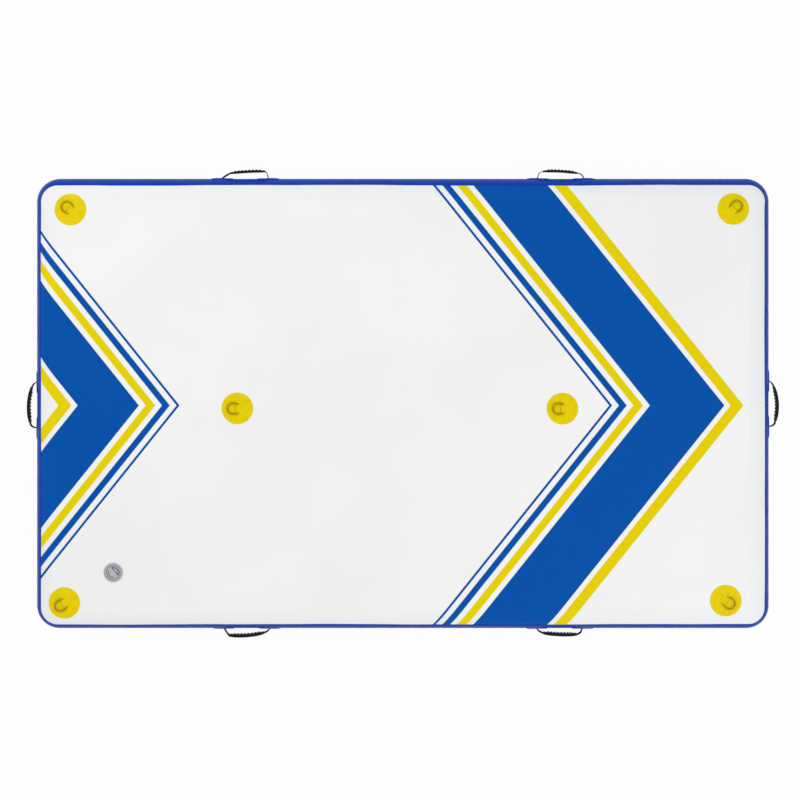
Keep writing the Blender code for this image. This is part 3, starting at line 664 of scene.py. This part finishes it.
def cover_piece(name, centre, degrees):
    """The half-round cover welded over the tab's plies, with its straight edge just behind the ring's bar."""
    bar, bow = bow_frame(degrees)
    back = -bow
    edge = 0.0058
    radius = 0.0366
    rows_back = 26
    columns = 36
    shape = bmesh.new()
    top = []
    bottom = []
    for row in range(rows_back + 1):
        share = row / rows_back
        depth = edge + (radius * 0.997 - edge) * (1 - (1 - share) ** 1.5)
        half = math.sqrt(radius**2 - depth**2)
        top_row = []
        bottom_row = []
        for column in range(columns + 1):
            side = -1 + 2 * column / columns
            wide = half * math.sin(side * math.pi / 2)
            place = centre + bar * wide + back * depth
            rim = min(radius - math.hypot(wide, depth), depth - edge)
            skin = 0.0002 + 0.0008 * smoothstep(-0.0002, 0.0014, rim)
            over = 1 - smoothstep(0.0123, 0.0163, abs(wide))
            hump = 0.0021 * over * (1 - smoothstep(0.0135, 0.0215, depth))
            weld = -0.00022 * math.exp(-(((rim - 0.0035) / 0.0008) ** 2))
            ground = deck_height(place.x, place.y) + 0.0003 + 0.0017
            top_row.append(Vector((place.x, place.y, ground + skin + hump * smoothstep(-0.0004, 0.0004, rim) + weld)))
            bottom_row.append(Vector((place.x, place.y, ground - 0.0003)))
        top.append(top_row)
        bottom.append(bottom_row)
    rows = [first + second[::-1] for first, second in zip(top, bottom)]
    loft(shape, rows)
    bmesh.ops.remove_doubles(shape, verts=shape.verts, dist=0.00001)
    return put(name, shape, "yellow_pvc", "dock")


def tab_piece(name, centre, degrees, node):
    """The strip folded round the bar, its two plies run back under the cover."""
    bar, bow = bow_frame(degrees)
    bore = wire_radius + 0.00035
    thickness = 0.0011
    outer_radius = bore + thickness
    low = -outer_radius + 0.0001
    outline = []
    for step in range(15):
        turn = math.radians(62 + (270 - 62) * step / 14)
        outline.append((math.cos(turn), math.sin(turn)))
    outer = [(x * outer_radius, y * outer_radius) for x, y in outline]
    inner = [(x * bore, y * bore) for x, y in outline]
    heel = 0.0135
    upper = low + 2 * thickness
    outer = [(heel, upper), (0.0075, upper + 0.0002), *outer, (0.0075, low), (heel, low)]
    inner = [(heel, low + thickness + 0.00005), (0.0070, low + thickness + 0.0001), *inner, (0.0070, low + thickness - 0.0001), (heel, low + thickness - 0.00005)]
    half = 0.0125
    stations = [-half, -half + 0.0003, -half + 0.0012, *(half * step / 6 for step in range(-5, 6)), half - 0.0012, half - 0.0003, half]
    stations = sorted(set(round(value, 6) for value in stations))
    rows = []
    for station in stations:
        pinch = 0.00028 if abs(station) > half - 0.0001 else 0.0
        loop = []
        for back_by, up_by in outer:
            size = math.hypot(back_by, up_by)
            scale = 1 - pinch / size if size else 1
            loop.append(centre + bar * station - bow * back_by * scale + UP * up_by * scale)
        for back_by, up_by in reversed(inner):
            loop.append(centre + bar * station - bow * back_by + UP * up_by)
        rows.append(loop)
    shape = bmesh.new()
    loft(shape, rows)
    return put(name, shape, "yellow_pvc", "dock", (node,), math.radians(50))


def ring_points():
    """The wire's centre line, as (along the bar, towards the bow) from the middle of the bar."""
    centre = Vector((0, ring_depth - bow_radius))
    bow = []
    steps = 44
    for step in range(steps + 1):
        angle = -ring_leg_angle + (math.pi + 2 * ring_leg_angle) * step / steps
        bow.append(centre + bow_radius * Vector((math.cos(angle), math.sin(angle))))
    fall = bow[0].y / math.cos(ring_leg_angle)
    foot = bow[0].x - fall * math.sin(ring_leg_angle)
    left = Vector((-foot, 0))
    right = Vector((foot, 0))
    line = list(bow)
    for before, corner, after in ((bow[-1], left, right), (left, right, bow[0])):
        into = (before - corner).normalized()
        out = (after - corner).normalized()
        half_angle = into.angle(out) / 2
        reach = ring_bend_radius / math.tan(half_angle)
        start = corner + into * reach
        end = corner + out * reach
        middle = corner + (into + out).normalized() * ring_bend_radius / math.sin(half_angle)
        for step in range(9):
            share = step / 8
            direction = (start - middle).normalized().slerp((end - middle).normalized(), share)
            line.append(middle + direction * ring_bend_radius)
    return line


def ring_piece(name, centre, degrees, node, body):
    bar, bow = bow_frame(degrees)
    line = ring_points()
    rows = []
    for index, point in enumerate(line):
        run = (line[(index + 1) % len(line)] - line[index - 1]).normalized()
        outward = bar * run.y - bow * run.x
        middle = centre + bar * point.x + bow * point.y
        row = []
        for side in range(20):
            turn = 2 * math.pi * side / 20
            row.append(middle + (outward * math.cos(turn) + UP * math.sin(turn)) * wire_radius)
        rows.append(row)
    shape = bmesh.new()
    loft(shape, rows, closed_loft=True)
    return put(name, shape, "steel", body, (node,), math.radians(60))


def make_rings():
    for name, share_x, share_y, degrees in ring_places:
        x = share_x * half_length
        y = share_y * half_width
        centre = Vector((x, y, bar_height))
        disc_piece(f"patch_disc_{name}", x, y, f"ring_patch_{name}")
        cover_piece(f"patch_cover_{name}", Vector((x, y, 0)), degrees)
        tab_piece(f"tab_{name}", centre, degrees, f"ring_tab_{name}")
        ring_piece(f"ring_{name}", centre, degrees, f"d_ring_{name}", f"ring_{name}")


# Handles


def side_frame(side):
    frames = {
        "back": ((0, half_width, 0), (1, 0, 0), (0, 1, 0)),
        "front": ((0, -half_width, 0), (1, 0, 0), (0, -1, 0)),
        "left": ((-half_length, 0, 0), (0, 1, 0), (-1, 0, 0)),
        "right": ((half_length, 0, 0), (0, 1, 0), (1, 0, 0)),
    }
    return [Vector(values) for values in frames[side]]


def grip_curve(ends, count):
    """Points of the strap's middle inside the grip."""
    left, middle, right = [Vector((across * handle_span / 2, out * handle_reach)) for across, out in ends]
    points = []
    for step in range(count + 1):
        x = left.x + (right.x - left.x) * step / count
        y = left.y * (x - middle.x) * (x - right.x) / ((left.x - middle.x) * (left.x - right.x))
        y += middle.y * (x - left.x) * (x - right.x) / ((middle.x - left.x) * (middle.x - right.x))
        y += right.y * (x - left.x) * (x - middle.x) / ((right.x - left.x) * (right.x - middle.x))
        points.append(Vector((x, y)))
    return points


def square_to(line, index):
    before = line[max(index - 1, 0)]
    after = line[min(index + 1, len(line) - 1)]
    run = (after - before).normalized()
    return Vector((-run.y, run.x))


def grip_piece(name, base, along, outward, ends, ridge_side, body, node):
    """The moulded grip: rounded finger ridges on one side, plain on the other, with a collar at each end."""
    per_ridge = 10
    count = grip_ridges * per_ridge
    line = grip_curve(ends, count)
    total = lengths_along(line)
    length = total[-1]
    rows = []
    for index, point in enumerate(line):
        distance = total[index]
        near_end = min(distance, length - distance)
        fullness = smoothstep(0, 0.022, near_end)
        collar = 1 - smoothstep(0.0015, 0.0035, near_end)
        swell = (0.5 - 0.5 * math.cos(2 * math.pi * grip_ridges * distance / length)) ** 0.8
        ridged = 0.0026 + (0.0036 - 0.0026) * fullness + 0.0028 * fullness * swell + 0.0004 * collar
        plain = 0.0026 + (0.0040 - 0.0026) * fullness + 0.0004 * collar
        half = 0.0114 + 0.0008 * fullness + 0.0003 * collar
        if index in (0, count):
            ridged, plain, half = ridged - 0.0006, plain - 0.0006, half - 0.0006
        corner = 0.0011 + 0.0012 * fullness
        normal = square_to(line, index)
        section = []
        for depth_side, height_side in ((1, -1), (1, 1), (-1, 1), (-1, -1)):
            depth_reach = ridged if depth_side > 0 else plain
            start = 0 if depth_side > 0 else math.pi
            base_angle = {(1, -1): -math.pi / 2, (1, 1): 0, (-1, 1): math.pi / 2, (-1, -1): math.pi}[(depth_side, height_side)]
            for step in range(5):
                turn = base_angle + math.pi / 2 * step / 4
                depth = depth_side * (depth_reach - corner) + corner * math.cos(turn)
                height = height_side * (half - corner) + corner * math.sin(turn)
                section.append((depth, height))
            if depth_side == height_side or (depth_side, height_side) == (-1, -1):
                edge = height_side * half
                for depth, notch in ((0.0007, 0), (0.0002, 0.00035), (-0.0002, 0.00035), (-0.0007, 0)):
                    if height_side > 0:
                        section.append((depth, edge - notch))
                    else:
                        section.append((-depth, edge + notch))
        row = []
        for depth, height in section:
            place = point + normal * ridge_side * depth
            row.append(base + along * place.x + outward * place.y + UP * height)
        rows.append(row)
    shape = bmesh.new()
    loft(shape, rows)
    return put(name, shape, "moulded_grip", body, (node,), math.radians(40))


def strap_line(side, ends, straightness):
    """The webbing's middle line from under its patch, out of the slit and into the grip."""
    curve = grip_curve(ends, 24)
    if side > 0:
        curve.reverse()
    entry = curve[0]
    inward = (curve[1] - curve[0]).normalized()
    slit = Vector((side * handle_span / 2, 0.0030))
    square = Vector((slit.x, entry.y))
    bend = square.lerp((slit + entry) / 2, straightness)
    first = slit + (bend - slit) * 0.72
    last = entry + (bend - entry) * 0.72
    points = [Vector((slit.x, -0.0006)), Vector((slit.x, 0.0012))]
    for step in range(25):
        share = step / 24
        a = slit.lerp(first, share)
        b = first.lerp(last, share)
        c = last.lerp(entry, share)
        points.append(a.lerp(b, share).lerp(b.lerp(c, share), share))
    points += [entry + inward * 0.003, entry + inward * 0.007]
    return points


def strap_piece(name, base, along, outward, side, ends, straightness, twist, nodes):
    """One visible end of the webbing, curved from under its patch into the grip."""
    line = strap_line(side, ends, straightness)
    total = lengths_along(line)
    half_width_strap = strap_width / 2
    half_thickness = strap_thickness / 2
    bead = 0.0009
    outline = []
    for side_depth, side_height, start in ((1, 1, 0), (-1, 1, 90), (-1, -1, 180), (1, -1, 270)):
        for step in range(5):
            turn = math.radians(start + 90 * step / 4)
            outline.append((side_depth * (half_thickness - bead) + bead * math.cos(turn), side_height * (half_width_strap - bead) + bead * math.sin(turn)))
        if side_depth == 1 and side_height == 1:
            outline += [(half_thickness * share, half_width_strap) for share in ()]
        if (side_depth, side_height) in ((-1, 1), (1, -1)):
            sign = side_depth
            for step in range(1, 8):
                height = side_height * (half_width_strap - 0.0012) * (1 - 2 * step / 8)
                outline.append((sign * half_thickness, height))
    rows = []
    for index, point in enumerate(line):
        share = total[index] / total[-1]
        swing = math.radians(twist) * math.sin(math.pi * share) * side
        normal = square_to(line, index)
        row = []
        for depth, height in outline:
            turned_depth = depth * math.cos(swing) - height * math.sin(swing)
            turned_height = depth * math.sin(swing) + height * math.cos(swing)
            place = point + normal * turned_depth
            row.append(base + along * place.x + outward * place.y + UP * turned_height)
        rows.append(row)
    shape = bmesh.new()
    loft(shape, rows)
    piece = put(name, shape, "webbing", None, (), math.radians(50))
    if nodes:
        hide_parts(*nodes)
    start = base + along * side * handle_span / 2
    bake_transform(piece)
    return piece


def patch_piece(name, base, along, outward, direction, node):
    """A blue patch welded on the side wall, raised over the webbing that runs under it, with a lipped slit."""
    count = 144
    outer_outline = []
    for step in range(count):
        turn = 2 * math.pi * (step + 0.5) / count
        # Points are spread by a squarish curve, so that the corners keep their share of them.
        exponent = 0.35
        x = math.copysign(abs(math.cos(turn)) ** exponent, math.cos(turn))
        y = math.copysign(abs(math.sin(turn)) ** exponent, math.sin(turn))
        outer_outline.append(Vector((x * 0.036, y * 0.0232)))
    slit_outline = []
    for step in range(count):
        turn = 2 * math.pi * (step + 0.5) / count
        slit_outline.append(Vector((0.00165 * math.cos(turn), 0.0118 * math.sin(turn))))
    shares = (0, 0.015, 0.035, 0.06, 0.09, 0.13, 0.18, 0.24, 0.31, 0.39, 0.48, 0.57, 0.66, 0.74, 0.81, 0.87, 0.915, 0.95, 0.975, 0.99, 1.0)
    ground = chamber_radius + rail_thickness

    def lift(point, share):
        edge = min(0.036 - abs(point.x), 0.0232 - abs(point.y))
        skin = 0.0007 + 0.0010 * smoothstep(0, 0.0009, edge) + 0.0004 * smoothstep(0.0045, 0.0070, edge)
        weld = -0.00018 * math.exp(-(((edge - 0.0040) / 0.0007) ** 2))
        away = point.x * direction
        buried = (1 - smoothstep(0.0098, 0.0135, abs(point.y))) * smoothstep(-0.0035, 0.0005, away) * (1 - smoothstep(0.0235, 0.0300, away))
        near = math.exp(-((point.x / 0.0042) ** 2)) * (1 - smoothstep(0.0110, 0.0165, abs(point.y)))
        lip = 0.0004 * (1 - smoothstep(0.0, 0.05, share))
        return skin + weld + 0.0009 * buried + 0.0004 * near - lip

    def place(point, height):
        radius = ground + height
        angle = point.y / chamber_radius
        return base + along * point.x + outward * (radius * math.cos(angle) - chamber_radius) + UP * radius * math.sin(angle)

    rows = []
    for share in shares:
        ring = [inner.lerp(outer, share) for inner, outer in zip(slit_outline, outer_outline)]
        rows.append([place(point, lift(point, share)) for point in ring])
    for share in (1.0, 0.5, 0.0):
        ring = [inner.lerp(outer, share) for inner, outer in zip(slit_outline, outer_outline)]
        rows.append([place(point, 0.00003) for point in ring])
    shape = bmesh.new()
    loft(shape, rows, closed_loft=True)
    return put(name, shape, "blue_pvc", "dock", (node,), math.radians(40))


def make_handles():
    for name, side, share, ends, straightness, ridge_side, twists in handle_places:
        middle, along, outward = side_frame(side)
        base = middle + along * share * half_length + UP * chamber_radius
        body = f"handle_{name}"
        grip_piece(f"grip_{name}", base, along, outward, ends, ridge_side, body, f"handle_grip_{name}")
        for number, direction in ((1, -1), (2, 1)):
            nodes = (f"handle_strap_{name}",) if number == 1 else ()
            strap_piece(
                f"webbing_{name}_{number}",
                base,
                along,
                outward,
                direction,
                ends,
                straightness[number - 1],
                twists[number - 1],
                nodes,
            )
            slit = base + along * direction * handle_span / 2
            patch_piece(f"slit_patch_{name}_{number}", slit, along, outward, direction, f"handle_patch_{name}_{number}")


# Valve


def make_valve_body():
    port = 0.0214
    flange = 0.0306
    neck = 0.0235
    airway = 0.0165
    seat = 0.0140
    points = [
        (port, flange_top - 0.0018),
        (port + 0.0013, flange_top),
        (0.0288, flange_top),
        (flange, flange_top - 0.0013),
        (flange, flange_bottom + 0.0001),
        (neck, flange_bottom + 0.0001),
        (neck, body_bottom),
        (seat, body_bottom),
        (seat, body_bottom + 0.0030),
        (airway, body_bottom + 0.0034),
        (airway, ledge_height),
        (port, ledge_height),
    ]
    radii = [0, 0.0006, 0.0012, 0.0009, 0.0004, 0, 0.0008, 0.0005, 0.0004, 0.0004, 0.0005, 0.0005]
    shape = turned(fillet(points, radii, 4, closed=True), centre=valve_at, closed=True)
    put("valve_flange", shape, "valve_plastic", "dock", ("valve_body",))
    # The guide that the stem runs in: a hub on four arms.
    guide_bottom = body_bottom + 0.0100
    guide_top = guide_bottom + 0.0040
    hub = fillet(
        [(0.0026, guide_bottom), (0.0060, guide_bottom), (0.0060, guide_top), (0.0026, guide_top)], 0.0005, 3, closed=True
    )
    put("valve_guide_hub", turned(hub, 48, valve_at, closed=True), "valve_plastic", "dock")
    for number in range(4):
        turn = number * math.pi / 2
        run = Vector((math.cos(turn), math.sin(turn), 0))
        square = Vector((-run.y, run.x, 0))
        rows = []
        for reach, half in ((0.0056, 0.0016), (0.0080, 0.0013), (0.0145, 0.0013), (0.0168, 0.0018)):
            middle = valve_at + run * reach
            row = []
            for side, height in ((-1, guide_bottom + 0.0003), (-0.7, guide_bottom), (0.7, guide_bottom), (1, guide_bottom + 0.0003), (1, guide_top - 0.0003), (0.7, guide_top), (-0.7, guide_top), (-1, guide_top - 0.0003)):
                row.append(middle + square * side * half + UP * height)
            rows.append(row)
        shape = bmesh.new()
        loft(shape, rows)
        put(f"valve_guide_arm_{number + 1}", shape, "valve_plastic", "dock")


cap_rim = flange_top + 0.0014
cap_floor = cap_rim - 0.0062
cap_radius = 0.0209
cap_recess_radius = 0.0183
cap_bar_bearing = math.radians(-50)
cap_bar_edge = 0.0060  # from the bar's middle to its crisp edge


def cap_point(x, y, height):
    """A point on the cap, where x runs along the grip bar and y square to it."""
    bar = Vector((math.cos(cap_bar_bearing), math.sin(cap_bar_bearing), 0))
    square = Vector((-bar.y, bar.x, 0))
    return valve_at + bar * x + square * y + UP * height


def cap_cup():
    """The cap's skirt, rim and recess, turned in one piece."""
    underside = cap_floor - 0.0020
    skirt_bottom = 0.1408
    points = [
        (0.0003, underside),
        (cap_recess_radius, underside),
        (cap_recess_radius, skirt_bottom),
        (cap_radius, skirt_bottom),
        (cap_radius, cap_rim),
        (cap_recess_radius, cap_rim),
        (cap_recess_radius, cap_floor),
        (0.0003, cap_floor),
    ]
    radii = [0, 0.0004, 0.0004, 0.0006, 0.0010, 0.0007, 0.0009, 0]
    put("valve_cap_cup", turned(fillet(points, radii, 6), 128, valve_at), "cap_plastic", "valve_cap", ("valve_cap",))


def grip_bar_height(x, y):
    """The grip bar's top, which falls into a dished crescent on its far side and is flush with the rim at its ends."""
    distance = math.hypot(x, y)
    beyond = min(1.0, max(0.0, (-y - 0.0045) / 0.0080))
    at_end = smoothstep(0.0136, 0.0179, abs(x)) * (1 - smoothstep(0.0050, 0.0085, -y))
    crown = 0.0003 + 0.0006 * (y / cap_bar_edge) ** 2 if y > -cap_bar_edge else 0.0009
    fall = crown * (1 - at_end) + 0.0009 * beyond
    trough = smoothstep(0.0128, 0.0161, distance) * (1 - smoothstep(0.0169, 0.0187, distance))
    fall += 0.0030 * trough * smoothstep(0.0055, 0.0105, -y)
    fall *= 1 - smoothstep(0.0174, 0.0187, distance) * smoothstep(0.0055, 0.0090, -y)
    return cap_rim - 0.00006 - fall


def cap_bar():
    """The wide grip bar, crisp on one side and dished on the other, which fills the recess behind it."""
    reach = 0.0188
    bottom = cap_floor - 0.0005
    columns = 72
    places = [(cap_bar_edge, None), (cap_bar_edge, 0.0006), (cap_bar_edge - 0.0001, 0.0003), (cap_bar_edge - 0.0003, 0.0001)]
    places += [(cap_bar_edge - 0.0006 - 0.0004 * step, 0) for step in range(4)]
    start = places[-1][0]
    steps = 56
    for step in range(1, steps + 1):
        share = step / steps
        places.append((start + (-reach * 0.9985 - start) * (1 - (1 - share) ** 1.25), 0))
    rows = []
    for y, drop in places:
        half = math.sqrt(reach**2 - y**2)
        top = []
        under = []
        for column in range(columns + 1):
            x = half * math.sin((-1 + 2 * column / columns) * math.pi / 2)
            height = bottom + 0.0001 if drop is None else grip_bar_height(x, y) - drop
            top.append(cap_point(x, y, height))
            under.append(cap_point(x, y, bottom))
        rows.append(top + under[::-1])
    shape = bmesh.new()
    loft(shape, rows)
    bmesh.ops.remove_doubles(shape, verts=shape.verts, dist=0.000002)
    put("valve_cap_bar", shape, "cap_plastic", "valve_cap", (), math.radians(40))


def cap_step():
    """The raised step in the recess on the bar's crisp side, with a groove left round it."""
    radius = 0.0153
    near = 0.0083
    first = math.asin(near / radius)
    outline = []
    count = 40
    for step in range(count + 1):
        turn = first + (math.pi - 2 * first) * step / count
        outline.append((radius * math.cos(turn), radius * math.sin(turn)))
    corners = [0.0009 if index in (0, count) else 0 for index in range(count + 1)]
    outline = [Vector(point) for point in fillet(outline, corners, 5, closed=True)]
    middle = Vector((0, (near + radius) / 2))
    rows = []
    for height, inset in ((-0.0002, 0), (0.0036, 0), (0.0039, 0.00009), (0.00411, 0.00032), (0.0042, 0.0006), (0.0041, 0.0011)):
        row = []
        for point in outline:
            inward = (middle - point).normalized() * inset
            row.append(cap_point(point.x + inward.x, point.y + inward.y, cap_floor + height))
        rows.append(row)
    shape = bmesh.new()
    loft(shape, rows)
    put("valve_cap_step", shape, "cap_plastic", "valve_cap", (), math.radians(40))


def make_cap():
    cap_cup()
    cap_bar()
    cap_step()


def make_stem():
    button_top = 0.1363
    button_bottom = 0.1337
    foot_top = 0.1066
    foot_bottom = 0.1048
    profile = fillet(
        [
            (0.0004, button_top - 0.0008),
            (0.0030, button_top - 0.0008),
            (0.0045, button_top),
            (0.0085, button_top),
            (0.0085, button_bottom),
            (0.0022, button_bottom),
            (0.0022, foot_top),
            (0.0050, foot_top),
            (0.0050, foot_bottom),
            (0.0004, foot_bottom),
        ],
        [0, 0.0006, 0.0006, 0.0007, 0.0003, 0.0005, 0.0005, 0.0003, 0.0003, 0],
        4,
    )
    put("valve_button", turned(profile, 64, valve_at), "valve_plastic", "valve_stem", ("valve_stem",))
    bore = 0.0025
    outer = 0.0160
    disc = fillet([(bore, 0.1069), (outer, 0.1069), (outer, 0.1093), (bore, 0.1093)], 0.0008, 4, closed=True)
    put("valve_flap", turned(disc, 64, valve_at, closed=True), "seal_rubber", "valve_diaphragm", ("valve_diaphragm",))
    seal = fillet([(0.0175, 0.1393), (0.0211, 0.1393), (0.0211, 0.1405), (0.0175, 0.1405)], 0.0005, 4, closed=True)
    put("cap_gasket", turned(seal, 96, valve_at, closed=True), "seal_rubber", "valve_cap_seal", ("valve_cap_seal",))
    gasket = fillet([(0.0238, 0.1503), (0.0296, 0.1503), (0.0296, 0.1514), (0.0238, 0.1514)], 0.0004, 4, closed=True)
    put("flange_gasket", turned(gasket, 96, valve_at, closed=True), "seal_rubber", "dock", ("valve_seal",))


def make_spring():
    """The coil round the stem, with closed end turns."""
    wire = 0.0004
    coil_radius = 0.0046
    bottom = 0.1239
    length = 0.0095
    steps_per_turn = 36
    wire_sides = 12
    end_turns = 0.75
    open_turns = 4
    closed_pitch = 2.1 * wire
    end_rise = end_turns * closed_pitch
    open_pitch = (length - 2 * wire - 2 * end_rise) / open_turns
    rows = []
    for index in range(round((open_turns + 2 * end_turns) * steps_per_turn) + 1):
        turns = index / steps_per_turn
        opened = min(max(turns - end_turns, 0), open_turns)
        height = bottom + wire + (turns - opened) * closed_pitch + opened * open_pitch
        angle = 2 * math.pi * turns
        outward = Vector((math.cos(angle), math.sin(angle), 0))
        middle = valve_at + outward * coil_radius + UP * height
        row = []
        for side in range(wire_sides):
            turn = 2 * math.pi * side / wire_sides
            row.append(middle + (outward * math.cos(turn) + UP * math.sin(turn)) * wire)
        rows.append(row)
    shape = bmesh.new()
    loft(shape, rows)
    coil = put("valve_coil", shape, "spring_steel", "dock", ("valve_spring",), math.radians(50))
    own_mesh(coil)


# Staging

world_light = 0.74
floor_glow_share = 0.95


def seen_or_mirrored(tree):
    """1 for what the camera sees straight on, in a mirror or through glass, and 0 for other light."""
    path = tree.nodes.new("ShaderNodeLightPath")
    total = path.outputs["Is Camera Ray"]
    for name in ("Is Glossy Ray", "Is Transmission Ray"):
        either = tree.nodes.new("ShaderNodeMath")
        either.operation = "MAXIMUM"
        tree.links.new(total, either.inputs[0])
        tree.links.new(path.outputs[name], either.inputs[1])
        total = either.outputs[0]
    return total


def make_stage():
    size = 14
    shape = bmesh.new()
    bmesh.ops.create_grid(shape, x_segments=1, y_segments=1, size=size)
    mesh = bpy.data.meshes.new("floor")
    shape.to_mesh(mesh)
    shape.free()
    floor = bpy.data.objects.new("floor", mesh)
    floor.location = (0, 0, -0.0005)
    bpy.context.scene.collection.objects.link(floor)
    material = bpy.data.materials.new("floor_white")
    material.use_nodes = True
    tree = material.node_tree
    tree.nodes.remove(tree.nodes["Principled BSDF"])
    diffuse = tree.nodes.new("ShaderNodeBsdfDiffuse")
    diffuse.inputs["Color"].default_value = (0.9, 0.9, 0.9, 1)
    glow = tree.nodes.new("ShaderNodeEmission")
    glow.inputs["Color"].default_value = (1, 1, 1, 1)
    glow.inputs["Strength"].default_value = 1.0
    share = tree.nodes.new("ShaderNodeMath")
    share.operation = "MULTIPLY"
    tree.links.new(seen_or_mirrored(tree), share.inputs[0])
    share.inputs[1].default_value = floor_glow_share
    mixed = tree.nodes.new("ShaderNodeMixShader")
    tree.links.new(share.outputs[0], mixed.inputs[0])
    tree.links.new(diffuse.outputs[0], mixed.inputs[1])
    tree.links.new(glow.outputs[0], mixed.inputs[2])
    tree.links.new(mixed.outputs[0], tree.nodes["Material Output"].inputs["Surface"])
    mesh.materials.append(material)


def make_light():
    world = bpy.data.worlds.new("studio")
    world.use_nodes = True
    tree = world.node_tree
    ambient = tree.nodes["Background"]
    ambient.inputs["Color"].default_value = (1, 1, 1, 1)
    strength = tree.nodes.new("ShaderNodeMapRange")
    tree.links.new(seen_or_mirrored(tree), strength.inputs["Value"])
    strength.inputs["To Min"].default_value = world_light
    strength.inputs["To Max"].default_value = 1.0
    tree.links.new(strength.outputs[0], ambient.inputs["Strength"])
    bpy.context.scene.world = world
    for name, place, energy, size in (
        ("key", (-2.4, 2.6, 3.8), 54, 3.0),
        ("fill", (2.6, -2.8, 3.8), 51, 3.4),
    ):
        data = bpy.data.lights.new(name, "AREA")
        data.energy = energy
        data.size = size
        lamp = bpy.data.objects.new(name, data)
        lamp.location = place
        lamp.rotation_euler = (-Vector(place)).to_track_quat("-Z", "Y").to_euler()
        bpy.context.scene.collection.objects.link(lamp)


def make_camera():
    data = bpy.data.cameras.new("camera")
    data.sensor_width = 36
    data.lens = 70.45
    data.shift_x = -0.00356
    data.shift_y = -0.1980
    data.clip_end = 50
    camera = bpy.data.objects.new("camera", data)
    camera.location = (0, 0.54, chamber_height + 5.16)
    bpy.context.scene.collection.objects.link(camera)
    bpy.context.scene.camera = camera


def dress_frame():
    """The CAD nodes that stay get their slot's material."""
    for entry in frame["record"]["subparts"]:
        node = frame["nodes"][entry["node"]]
        for place in node.material_slots:
            place.material = paints[entry["material_slot"]]


def main():
    dress_frame()
    sheet_piece("deck_sheet", "white_pvc", "deck_skin", True, 0.0237)
    sheet_piece("base_sheet", "grey_pvc", "base_skin", False)
    rail_piece()
    make_rings()
    make_handles()
    make_valve_body()
    make_cap()
    make_stem()
    make_spring()
    make_stage()
    make_light()
    make_camera()
    bpy.context.scene.view_settings.view_transform = "Standard"


main()
